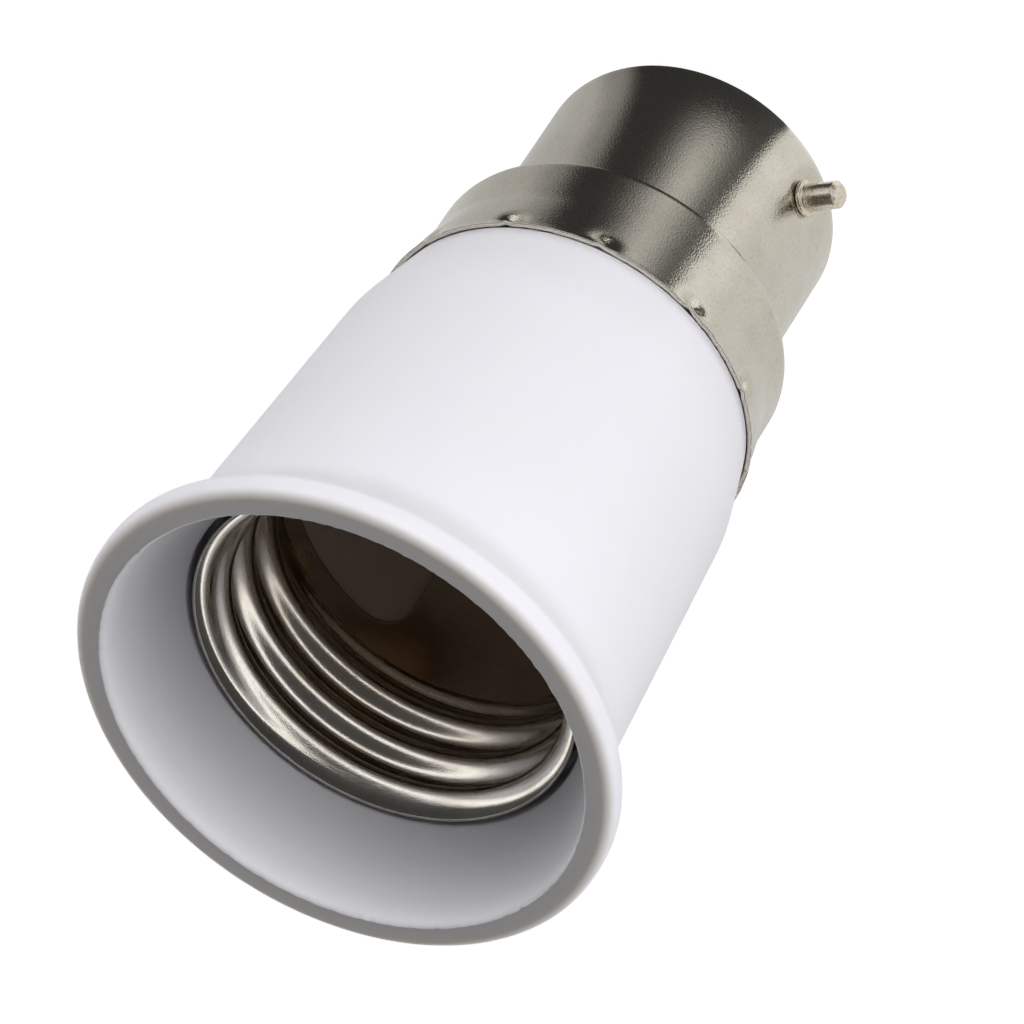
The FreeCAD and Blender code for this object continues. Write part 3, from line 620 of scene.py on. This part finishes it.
def moulded_white(name):
    """Satin white moulding: slight orange peel, uneven gloss, painted grey shade on the rim's face
    and painted warm shade deep in the bore.
    """
    finish = Finish(name)
    tone = finishes()
    cloud = finish.noise(9.0, detail=3.0)
    peel = finish.noise(0.9, detail=2.0) + finish.noise(0.35, detail=3.0) * 0.25
    height = finish.part("Z")
    across = finish.radius()
    clouded = finish.level(cloud, 0.35, 0.75) * 0.35
    shade = finish.mix(clouded, tone.housing, dimmed(tone.housing, 0.965))
    # Painted shade: the rim's face is darkened to grey, cooler inwards and warmer outwards
    rim = finish.mix(finish.past(across, RIM_PAINTED_SHADE_RADII), RIM_INNER_PAINTED_SHADE, RIM_OUTER_PAINTED_SHADE)
    shade = finish.mix(finish.past(height, RIM_FACE) * 0.85, shade, rim)
    # Painted warm shade: the bore is darker and browner between these heights, inside its wall
    deep = finish.past(height, BORE_SHADE_FROM) - finish.past(height, BORE_SHADE_TO)
    deep = deep * (1 - finish.past(across, BORE_WALL))
    shade = finish.mix(deep * 0.8, shade, BORE_PAINTED_WARM_SHADE)
    return finish.surface(
        base_color=shade,
        roughness=tone.housing_gloss + (cloud - 0.5) * 0.12,
        normal=finish.bump(peel, 0.006),
        subsurface_weight=0.06,
        subsurface_radius=(0.001, 0.0009, 0.0008),
        subsurface_scale=0.6,
    )


def matt_nickel(name):
    """Matt nickel plate of the cap: sand-fine grain, dark pits, soft stains and paler patches."""
    finish = Finish(name)
    tone = finishes()
    grain = finish.noise(0.13, detail=1.0, rough=0.5)
    speck = finish.noise(0.2, detail=3.0, rough=0.7)
    cloud = finish.noise(4.5)
    stain = finish.level(finish.noise(2.2, detail=5.0, rough=0.65), 0.5, 0.72)
    shade = finish.mix(
        finish.level(cloud, 0.3, 0.7), tone.cap_metal, dimmed(tone.cap_metal, 0.93)
    )
    shade = finish.mix(stain * 0.3, shade, CAP_STAIN)
    shade = finish.mix(finish.level(speck, 0.5, 0.7) * 0.3, shade, CAP_PALE)
    shade = finish.mix(finish.level(speck, 0.5, 0.3) * 0.3, shade, CAP_PIT)
    rough = tone.cap_gloss + (speck - 0.5) * 0.16 + (cloud - 0.5) * 0.08
    return finish.surface(
        base_color=shade, metallic=1.0, roughness=rough, normal=finish.bump(grain, 0.017)
    )


def warm_nickel(name):
    """Warm nickel plate of the turned pins."""
    finish = Finish(name)
    speck = finish.noise(0.3, rough=0.7)
    tarnish = finish.level(speck, 0.45, 0.7) * 0.6
    return finish.surface(
        base_color=finish.mix(tarnish, finishes().pin_metal, PIN_TARNISH),
        metallic=1.0,
        roughness=0.1 + speck * 0.2,
        normal=finish.bump(speck, 0.03),
    )


def bright_nickel(name):
    """Bright nickel plate of the rolled shell: fine sparkle, faint streaks, and a painted warm
    reflection that makes it browner down inside.
    """
    finish = Finish(name)
    streak = finish.noise(0.5, 3.0, 0.5, finish.stretched(0.2, 1.6))
    grain = finish.noise(0.09, 1.0, 0.5)
    cloud = finish.noise(3.0, 4.0, 0.6, finish.stretched(0.6, 1.6))
    # Painted warm reflection: the shell is browner and darker further down inside
    deep = 1 - finish.past(finish.part("Z"), SHELL_PAINTED_REFLECTION_TO)
    shade = finish.mix(
        finish.level(cloud, 0.45, 0.7) * 0.5, finishes().shell_metal, SHELL_CLOUD
    )
    shade = finish.mix(deep * 0.6, shade, SHELL_PAINTED_WARM_REFLECTION)
    shade = finish.mix(finish.level(streak, 0.5, 0.8) * 0.25, shade, SHELL_STREAK)
    return finish.surface(
        base_color=shade,
        metallic=1.0,
        roughness=0.05 + streak * 0.05 + grain * 0.06,
        normal=finish.bump(streak * 0.15 + grain, 0.005),
    )


def plain_metal(name, tint, tarnish, rough):
    """Pressed metal with a mottled tarnish."""
    finish = Finish(name)
    mottle = finish.noise(0.9, detail=5.0, rough=0.65)
    grain = finish.noise(0.12, detail=2.0)
    return finish.surface(
        base_color=finish.mix(finish.level(mottle, 0.42, 0.72) * 0.6, tint, tarnish),
        metallic=1.0,
        roughness=rough + mottle * 0.2,
        normal=finish.bump(grain + mottle, 0.01),
    )


def pressed_brass(name):
    return plain_metal(name, finishes().brass, BRASS_TARNISH, 0.18)


def spring_bronze(name):
    return plain_metal(name, finishes().bronze, BRONZE_TARNISH, 0.2)


def dull_solder(name):
    return plain_metal(name, finishes().solder, SOLDER_TARNISH, 0.3)


def black_moulding(name):
    """Dark moulded insulator with a coarse dull face."""
    finish = Finish(name)
    cloud = finish.noise(1.6, detail=5.0, rough=0.6)
    return finish.surface(
        base_color=finish.mix(
            finish.level(cloud, 0.4, 0.7), finishes().insulator, INSULATOR_DUST
        ),
        roughness=0.5 + cloud * 0.15,
        normal=finish.bump(finish.noise(0.3, detail=3.0), 0.015),
    )


def lead_sleeve(name):
    """Pale insulation of the leads."""
    finish = Finish(name)
    cloud = finish.noise(1.2, detail=3.0)
    return finish.surface(
        base_color=finish.mix(finish.level(cloud, 0.3, 0.7), finishes().insulation, LEAD_GRIME),
        roughness=0.38 + cloud * 0.1,
        normal=finish.bump(cloud, 0.01),
    )


# Pieces


def housing_outline(size):
    """The housing's wall, from the middle of the socket's floor, out over the rim, and back."""
    rim_inner = RIM_RADIUS - size.rim_width
    thread_bore = size.thread_crest + size.thread_depth + size.shell_sheet + THREAD_GAP
    strap_bore = size.thread_crest + size.thread_depth / 2 + size.shell_sheet + STRAP_GAP
    flare_foot = MOUTH - size.mouth_bore_depth
    inside = size.cap_sheet + size.seat_gap
    seat = size.skirt_edge - inside
    wall = size.skirt_top - inside - SEAT_SLACK
    return [
        (0.0, FLOOR, 0),
        (strap_bore, FLOOR, 0.3),
        (strap_bore, STRAP_BORE_TOP, 0.3),
        (thread_bore, THREAD_BORE_FOOT, 0.3),
        (thread_bore, flare_foot - LEDGE_DEPTH, 0.2),
        (size.mouth_bore - LEDGE_DRAFT, flare_foot - LEDGE_DEPTH, 0.15),
        (size.mouth_bore, flare_foot, 0.6),
        (rim_inner - size.crease_inset, MOUTH - size.crease_depth, 0.2),
        (rim_inner, MOUTH - size.rim_chamfer, 0.05),
        (rim_inner + size.rim_chamfer, MOUTH, 0.05),
        (RIM_RADIUS, MOUTH, size.rim_rounding),
        (RIM_RADIUS, MOUTH - size.rim_side, size.rim_back_rounding),
        (size.taper_top, MOUTH - size.flare_length, size.flare_hollow),
        (size.neck, SKIRT_EDGE + size.neck_height, size.neck_rounding),
        (seat, SKIRT_EDGE, 0),
        (seat - SEAT_BEVEL[0], SKIRT_EDGE - SEAT_BEVEL[1], 0),
        (wall, size.shoulder + size.skirt_straight, 0),
        (wall, size.shoulder + size.cap_sheet, 1.0),
        (HOLLOW_RADIUS, size.shoulder + size.cap_sheet, 0.2),
        (HOLLOW_RADIUS, FLOOR - FLOOR_THICKNESS, 0.5),
        (0.0, FLOOR - FLOOR_THICKNESS, 0),
    ]


class ADAPTER_OT_housing(bpy.types.Operator):
    """Builds the moulded white housing"""

    bl_idname = "adapter.housing"
    bl_label = "Housing"

    def execute(self, context):
        size = sizes()
        path = outline(housing_outline(size), HOUSING_SPACING)
        rim_inner = RIM_RADIUS - size.rim_width

        def burr(bearing, radius, height):
            ragged = waves(bearing, 3, 40, 150) + 0.3 * waves(bearing, 4, 90, 175)
            down = near(height, MOUTH - BURR_INSET, BURR_FADE_DOWN)
            across = near(radius, rim_inner + BURR_INSET, BURR_FADE_ACROSS)
            return -BURR * np.clip(ragged, 0, None) * (down * across), 0.0

        piece = turned("housing_moulding", path, wander=burr)
        white = made("moulded white", moulded_white)
        place_on_root(piece, "housing_white", white, "body_housing")
        return {"FINISHED"}


def cap_outline(size):
    """The drawn sheet of the cap, outside from the end to the skirt's edge and back inside."""
    sheet = size.cap_sheet
    bend = size.shoulder + size.skirt_straight
    inward, down = SKIRT_INNER_BEND
    outer = [
        (END_HOLE, CAP_END, 0.0),
        (size.barrel, CAP_END, 2.5),
        (size.barrel, size.shoulder, 0.6),
        (size.skirt_top, size.shoulder, 1.4),
        (size.skirt_top, bend, 6.0),
        (size.skirt_edge, SKIRT_EDGE, 0.1),
        (size.skirt_edge - sheet, SKIRT_EDGE, 0.0),
    ]
    inner = [
        (size.skirt_edge - sheet, SKIRT_EDGE, 0.0),
        (size.skirt_edge - sheet - inward, SKIRT_EDGE - down, 0.0),
        (size.skirt_top - sheet, bend, 0.0),
        (size.skirt_top - sheet, size.shoulder + sheet, 1.05),
        (size.barrel - sheet, size.shoulder + sheet, 0.95),
        (size.barrel - sheet, CAP_END + sheet, 2.15),
        (END_HOLE, CAP_END + sheet, 0.0),
        (END_HOLE, CAP_END, 0.0),
    ]

    def longest(height):
        if height > SKIRT_EDGE - EDGE_ZONE:
            return EDGE_SPACING
        return SKIRT_SPACING if height > size.shoulder else BARREL_SPACING

    inside = outline(inner, INNER_SPACING, CAP_INNER_STEP)
    return np.concatenate([outline(outer, longest, CAP_OUTER_STEP), inside[1:]])


def crimp_marks(bearing, radius, height):
    """Change of radius and height near the skirt's edge: punched marks, nicks and a rough edge."""
    from_edge = SKIRT_EDGE - height
    at_edge = near(from_edge, 0.0, EDGE_BAND)
    fade = np.where(from_edge > CRIMP_PLACE, CRIMP_FROM_EDGE, CRIMP_TO_EDGE)
    across = EDGE_FLARE * at_edge
    up = EDGE_ROUGH * waves(bearing, 8, 8, 90) * at_edge
    for index, degrees in enumerate(CRIMPS):
        deep = CRIMP_DEPTHS[index % len(CRIMP_DEPTHS)]
        along = between(bearing, math.radians(degrees)) * radius
        half_moon = near(along, 0, CRIMP_WIDTH) ** 1.5 * near(from_edge, CRIMP_PLACE, fade)
        across = across - deep * half_moon
        up = up - NICK_DEPTH * near(along, NICK_ASIDE, NICK_WIDTH) * at_edge
    return across, up


class ADAPTER_OT_cap(bpy.types.Operator):
    """Builds the drawn bayonet cap with its crimp marks and the dimples round its pins"""

    bl_idname = "adapter.cap"
    bl_label = "Bayonet cap"

    def execute(self, context):
        size = sizes()

        def punched(bearing, radius, height):
            across, up = crimp_marks(bearing, radius, height)
            on_skirt = height > size.shoulder + PUNCHED_FROM
            on_barrel = height < size.shoulder - DIMPLE_LIMIT
            across = across * on_skirt
            for side in (-1, 1):
                along = between(bearing, side * math.pi / 2) * radius
                away = np.hypot(along, height - size.pin_height)
                dimple = 1 - ease((away - DIMPLE_FLAT) / DIMPLE_FADE)
                across = across - DIMPLE_DEPTH * dimple * on_barrel
            return across, up * on_skirt

        piece = turned("bayonet_cap_sheet", cap_outline(size), CAP_AROUND, punched)
        place_on_root(piece, "cap_nickel", made("matt nickel", matt_nickel), "bayonet_cap")
        return {"FINISHED"}


def pin_outline(size):
    """A pin from its foot inside the barrel, over the collar, to its tip."""
    wall = size.barrel - size.cap_sheet
    foot, foot_thickness = PIN_FOOT
    collar, collar_height = PIN_COLLAR
    seat = size.barrel - COLLAR_SUNK
    head = math.sqrt(wall * wall - foot * foot)
    return [
        (0.0, head - foot_thickness, 0),
        (foot, head - foot_thickness, 0.2),
        (foot, head, 0.1),
        (size.pin_radius, head, 0.05),
        (size.pin_radius, seat, 0.05),
        (collar, seat, 0.1),
        (collar, seat + collar_height, 0.14),
        (size.pin_radius, seat + collar_height, 0.12),
        (size.pin_radius, PIN_REACH - PIN_TIP_BEVEL, 0.1),
        (size.pin_radius - PIN_TIP_BEVEL, PIN_REACH, 0.1),
        (0.0, PIN_REACH, 0),
    ]


class ADAPTER_OT_pins(bpy.types.Operator):
    """Builds the two bayonet pins"""

    bl_idname = "adapter.pins"
    bl_label = "Bayonet pins"

    def execute(self, context):
        size = sizes()
        metal = made("warm nickel", warm_nickel)
        for label, side in (("front", -1), ("rear", 1)):
            name = "bayonet_pin_" + label
            piece = turned(name + "_turning", outline(pin_outline(size)), PIN_AROUND)
            lay_down = Matrix.Rotation(math.radians(-90 * side), 4, "X")
            piece.data.transform(Matrix.Translation((0, 0, size.pin_height * MM)) @ lay_down)
            place_on_root(piece, "pin_nickel", metal, name)
        return {"FINISHED"}


def thread_radius(size, bearing, height):
    """Middle of the shell's sheet at a bearing and height: thread, plain collar or curled lip."""
    depth = size.thread_depth / 2
    middle = size.thread_crest + depth + size.shell_sheet / 2
    start_bearing, start_height = THREAD_START
    fade = ease((height - THREAD_FOOT) / THREAD_FADE) * ease((SHELL_LIP - height) / THREAD_FADE)
    turn = start_bearing + TURN * (height - start_height) / size.thread_pitch
    curl = np.clip(1 - (SHELL_LIP - height) / LIP_CURL, 0, 1)
    rise = (size.lip - size.shell_sheet / 2 - middle) * (1 - np.sqrt(1 - curl * curl))
    return middle + rise - depth * fade * np.cos(bearing - turn)


def shell_bearings(strap_edge, foot_edge):
    """Bearings of the shell's columns, evenly spaced between the edges of straps and feet."""
    edges = (-strap_edge, -foot_edge, foot_edge, strap_edge)
    marks = sorted({0.0} | {(base + edge) % TURN for base in (0.0, math.pi) for edge in edges})
    bearings = []
    for start, end in zip(marks, marks[1:] + [marks[0] + TURN]):
        steps = max(1, round((end - start) * AROUND / TURN))
        bearings += [start + (end - start) * step / steps for step in range(steps)]
    return np.array(bearings)


def wall_rows(size, bearing, middle):
    """Rows of the shell's wall: lip, thread, and the collar down to the windows' rounded tops."""
    arc = [math.sin(step * math.pi / 2 / CURL_ROWS) for step in range(CURL_ROWS - 1, 0, -1)]
    heights = [SHELL_LIP] + [SHELL_LIP - LIP_CURL * (1 - reach) for reach in arc]
    top = heights[-1]
    steps = math.ceil((top - THREAD_FOOT) / size.thread_pitch * THREAD_ROWS)
    heights += [top + (THREAD_FOOT - top) * step / steps for step in range(1, steps + 1)]
    rows = []
    for height in heights:
        radius = thread_radius(size, bearing, height)
        rows.append(row_of_points(radius * np.cos(bearing), radius * np.sin(bearing), height))
    beside = np.abs(middle * np.cos(bearing))
    in_corner = np.clip(beside - (WINDOW_HALF - WINDOW_CORNER), 0, WINDOW_CORNER)
    low = WINDOW_TOP - WINDOW_CORNER + np.sqrt(WINDOW_CORNER * WINDOW_CORNER - in_corner**2)
    low = np.where(beside > WINDOW_HALF - TINY, WINDOW_TOP - WINDOW_CORNER, low)
    for step in range(1, COLLAR_ROWS + 1):
        height = THREAD_FOOT + (low - THREAD_FOOT) * step / COLLAR_ROWS
        rows.append(row_of_points(middle * np.cos(bearing), middle * np.sin(bearing), height))
    return rows


def strap_rows(turns, middle):
    """Rows of one strap between the windows, from the collar down."""
    top = WINDOW_TOP - WINDOW_CORNER
    drop = FLOOR + FOOT_RISE - top
    rows = []
    for step in range(STRAP_ROWS + 1):
        height = top + drop * step / STRAP_ROWS
        rows.append(row_of_points(middle * np.cos(turns), middle * np.sin(turns), height))
    return rows


def foot_rows(size, turns, middle, side):
    """Rows of one foot: the bend under its strap, then inwards along the floor."""
    flat = FLOOR + size.shell_sheet / 2
    bend = FOOT_BEND + size.shell_sheet / 2
    path = [(0.0, FLOOR + FOOT_RISE)]
    for turn in np.linspace(0, math.pi / 2, BEND_ROWS + 1):
        path.append((bend * (1 - math.cos(turn)), flat + bend * (1 - math.sin(turn))))
    path += [(step, flat) for step in FOOT_RUN]
    along = middle * np.sin(turns)
    rows = []
    for inward, height in path:
        rows.append(row_of_points(middle * np.cos(turns) - side * inward, along, height))
    return rows + [row_of_points(side * FOOT_TIP, along, flat)]


class ADAPTER_OT_shell(bpy.types.Operator):
    """Builds the rolled screw shell: lip, thread, collar, two windows, straps and feet"""

    bl_idname = "adapter.shell"
    bl_label = "Screw shell"

    def execute(self, context):
        size = sizes()
        middle = size.thread_crest + size.thread_depth / 2 + size.shell_sheet / 2
        strap_edge = math.acos(WINDOW_HALF / middle)
        foot_edge = math.asin(FOOT_HALF / middle)
        bearing = shell_bearings(strap_edge, foot_edge)
        vertices, faces = [], []
        add_grid(vertices, faces, wall_rows(size, bearing, middle), round_axis=True)
        for base, side in ((0.0, 1), (math.pi, -1)):
            turns = bearing[np.abs(between(bearing, base)) < strap_edge + TINY]
            turns = turns[np.argsort(between(turns, base))]
            add_grid(vertices, faces, strap_rows(turns, middle))
            turns = turns[np.abs(between(turns, base)) < foot_edge + TINY]
            add_grid(vertices, faces, foot_rows(size, turns, middle, side))
        piece = new_object("screw_shell_rolling", vertices, faces)
        sheet = piece.modifiers.new("sheet", "SOLIDIFY")
        sheet.thickness = size.shell_sheet * MM
        sheet.offset = 0.0
        sheet.use_even_offset = False
        nickel = made("bright nickel", bright_nickel)
        place_on_root(piece, "shell_nickel", nickel, "screw_shell")
        return {"FINISHED"}


class ADAPTER_OT_inside(bpy.types.Operator):
    """Gives the carried-over pieces inside and under the adapter their finishes"""

    bl_idname = "adapter.inside"
    bl_label = "Contacts, rivets and leads"

    def execute(self, context):
        makers = {
            "contact_brass": ("pressed brass", pressed_brass),
            "leaf_bronze": ("spring bronze", spring_bronze),
            "insulator_black": ("black moulding", black_moulding),
            "solder_tin": ("dull solder", dull_solder),
            "lead_insulation": ("lead sleeve", lead_sleeve),
        }
        slots = {row["node"]: row["material_slot"] for row in frame["record"]["subparts"]}
        for name, piece in frame["nodes"].items():
            if slots.get(name) not in makers:
                continue
            piece.data.materials.clear()
            piece.data.materials.append(made(*makers[slots[name]]))
            piece.data.shade_smooth()
            piece.data.set_sharp_from_angle(angle=CARRIED_SHARP_ANGLE)
        return {"FINISHED"}


def flat_sheet(name, corners, material):
    """A flat stage piece from corners in metres."""
    mesh = bpy.data.meshes.new(name)
    mesh.from_pydata(corners, [], [tuple(range(len(corners)))])
    piece = bpy.data.objects.new(name, mesh)
    piece.data.materials.append(material)
    bpy.context.scene.collection.objects.link(piece)
    return piece


def looking(bearing, rise):
    """The way out from the adapter at a bearing and a rise, both in radians."""
    flat = math.cos(rise)
    return Vector((flat * math.cos(bearing), flat * math.sin(bearing), math.sin(rise)))


class ADAPTER_OT_stage(bpy.types.Operator):
    """Sets out the floor, the glowing card by the cap that paints reflections in it, the lamp, the
    background and the camera
    """

    bl_idname = "adapter.stage"
    bl_label = "Floor, lamps and camera"

    def execute(self, context):
        stage = context.scene.adapter_stage
        self.make_floor()
        self.make_card()
        self.make_world(context.scene, stage)
        self.make_lamp(context.scene, stage)
        self.make_camera(context.scene, stage)
        context.scene.view_settings.view_transform = "Standard"
        return {"FINISHED"}

    def make_floor(self):
        """A pale floor that is white to the camera, and to rays off or through the object."""
        finish = Finish("pale floor")
        seen = finish.node("LightPath", output="Is Camera Ray")
        for kind in ("Is Glossy Ray", "Is Transmission Ray"):
            seen = finish.maths("MAXIMUM", seen, finish.node("LightPath", output=kind))
        matt = finish.node("BsdfDiffuse", None, {"Color": FLOOR_TINT})
        glow = finish.node("Emission", None, {"Color": WHITE, "Strength": seen * FLOOR_GLOW})
        both = finish.node("AddShader", None, {0: matt, 1: glow})
        finish.node("OutputMaterial", None, {"Surface": both})
        ways = ((-1, -1), (1, -1), (1, 1), (-1, 1))
        corners = [(x * FLOOR_HALF, y * FLOOR_HALF, FLOOR_LEVEL) for x, y in ways]
        flat_sheet("floor", corners, finish.owner)

    def make_card(self):
        """A graded card on the floor round the cap that glows where only shiny things see it:
        painted reflections, dark and pale, in the cap's metal.
        """
        finish = Finish("graded card")
        degrees = finish.bearing() * (180 / math.pi)
        stops = [((bearing + 180) / 360, tone) for bearing, tone in CARD_PAINTED_REFLECTION_TONES]
        band = finish.ramp((degrees + 180) / 360, stops, "EASE")
        out = finish.radius()
        # A glowing spot in the card, seen in the cap as a painted highlight
        patch = finish.level(out, *PATCH_INNER) * (1 - finish.level(out, *PATCH_OUTER))
        aside = (degrees - PATCH_BEARING) * (1 / PATCH_WIDTH)
        spot = patch * finish.maths("EXPONENT", aside * aside * -1.0) * PAINTED_HIGHLIGHT_GLOW
        glow = finish.node("Emission", None, {"Color": CARD_TINT, "Strength": band + spot})
        finish.node("OutputMaterial", None, {"Surface": glow})
        turns = [TURN * step / CARD_STEPS for step in range(CARD_STEPS + 1)]
        corners = []
        for radius, ring in zip(CARD_RADII, (turns, turns[::-1])):
            corners += [(radius * math.cos(t), radius * math.sin(t), CARD_LEVEL) for t in ring]
        card = flat_sheet("graded_card", corners, finish.owner)
        card.visible_camera = False
        card.visible_diffuse = False
        card.visible_shadow = False
        card.visible_transmission = False

    def make_world(self, scene, stage):
        """A white background in a room that is bright low down and dim overhead."""
        world = bpy.data.worlds.new("white surroundings")
        scene.world = world
        finish = Finish("white surroundings", world)
        way = finish.node("TexCoord", output="Generated")
        up = finish.node("SeparateXYZ", None, {0: way}, output="Z")
        glossy = finish.node("LightPath", output="Is Glossy Ray")
        camera = finish.node("LightPath", output="Is Camera Ray")
        through = finish.node("LightPath", output="Is Transmission Ray")
        seen = finish.maths("MAXIMUM", camera, through)
        low = 1 - finish.level(up, 0.0, LOW_LIGHT_TOP)
        lamps = low * (stage.horizon - stage.overhead) + stage.overhead
        stops = [((up_to + 1) / 2, tone) for up_to, tone in SHINE_TONES]
        shine = finish.ramp((up + 1) / 2, stops) * SHINE
        strength = seen + (1 - seen) * (glossy * shine + (1 - glossy) * lamps)
        back = finish.node("Background", None, {"Color": WHITE, "Strength": strength})
        finish.node("OutputWorld", None, {"Surface": back})

    def make_lamp(self, scene, stage):
        """A low, wide, soft lamp that shiny surfaces don't see."""
        data = bpy.data.lights.new("key lamp", "AREA")
        data.shape = "RECTANGLE"
        data.size, data.size_y = KEY_SIZE
        data.energy = stage.key
        lamp = bpy.data.objects.new("key lamp", data)
        away = looking(math.radians(KEY_BEARING), math.radians(KEY_RISE))
        lamp.location = Vector(KEY_AIM) + away * KEY_DISTANCE
        facing = Vector(KEY_AIM) - lamp.location
        lamp.rotation_euler = facing.to_track_quat("-Z", "Y").to_euler()
        lamp.visible_glossy = False
        scene.collection.objects.link(lamp)

    def make_camera(self, scene, stage):
        """The camera of the photograph's view."""
        data = bpy.data.cameras.new("camera")
        data.sensor_width = SENSOR_WIDTH
        data.lens = stage.lens
        data.clip_start, data.clip_end = CLIP
        camera = bpy.data.objects.new("camera", data)
        away = looking(stage.camera_bearing, stage.camera_rise)
        turned_to = away.to_track_quat("Z", "Y").to_matrix().to_4x4()
        rolled = Matrix.Rotation(-stage.camera_roll, 4, "Z")
        place = Matrix.Translation(Vector(CAMERA_AIM) + away * stage.camera_distance)
        camera.matrix_world = place @ turned_to @ rolled
        scene.collection.objects.link(camera)
        scene.camera = camera


class ADAPTER_PT_panel(bpy.types.Panel):
    """Lists the adapter's pieces, sizes and finishes"""

    bl_idname = "ADAPTER_PT_panel"
    bl_label = "Lamp Adapter"
    bl_space_type = "VIEW_3D"
    bl_region_type = "UI"
    bl_category = "Lamp Adapter"

    def draw(self, context):
        for operator in OPERATORS:
            self.layout.operator(operator.bl_idname)
        for name in GROUPS:
            group = getattr(context.scene, name)
            box = self.layout.box()
            for field in group.__annotations__:
                box.prop(group, field)


OPERATORS = (
    ADAPTER_OT_housing,
    ADAPTER_OT_cap,
    ADAPTER_OT_pins,
    ADAPTER_OT_shell,
    ADAPTER_OT_inside,
    ADAPTER_OT_stage,
)
GROUPS = {
    "adapter_sizes": AdapterSizes,
    "adapter_finishes": AdapterFinishes,
    "adapter_stage": AdapterStage,
}


def register():
    for group in GROUPS.values():
        bpy.utils.register_class(group)
    for name, group in GROUPS.items():
        setattr(bpy.types.Scene, name, bpy.props.PointerProperty(type=group))
    for operator in OPERATORS:
        bpy.utils.register_class(operator)
    bpy.utils.register_class(ADAPTER_PT_panel)


def unregister():
    bpy.utils.unregister_class(ADAPTER_PT_panel)
    for operator in reversed(OPERATORS):
        bpy.utils.unregister_class(operator)
    for name, group in GROUPS.items():
        delattr(bpy.types.Scene, name)
        bpy.utils.unregister_class(group)


def main():
    register()
    bpy.ops.adapter.housing()
    bpy.ops.adapter.cap()
    bpy.ops.adapter.pins()
    bpy.ops.adapter.shell()
    bpy.ops.adapter.inside()
    bpy.ops.adapter.stage()
    bpy.context.view_layer.update()


if __name__ == "__main__":
    main()
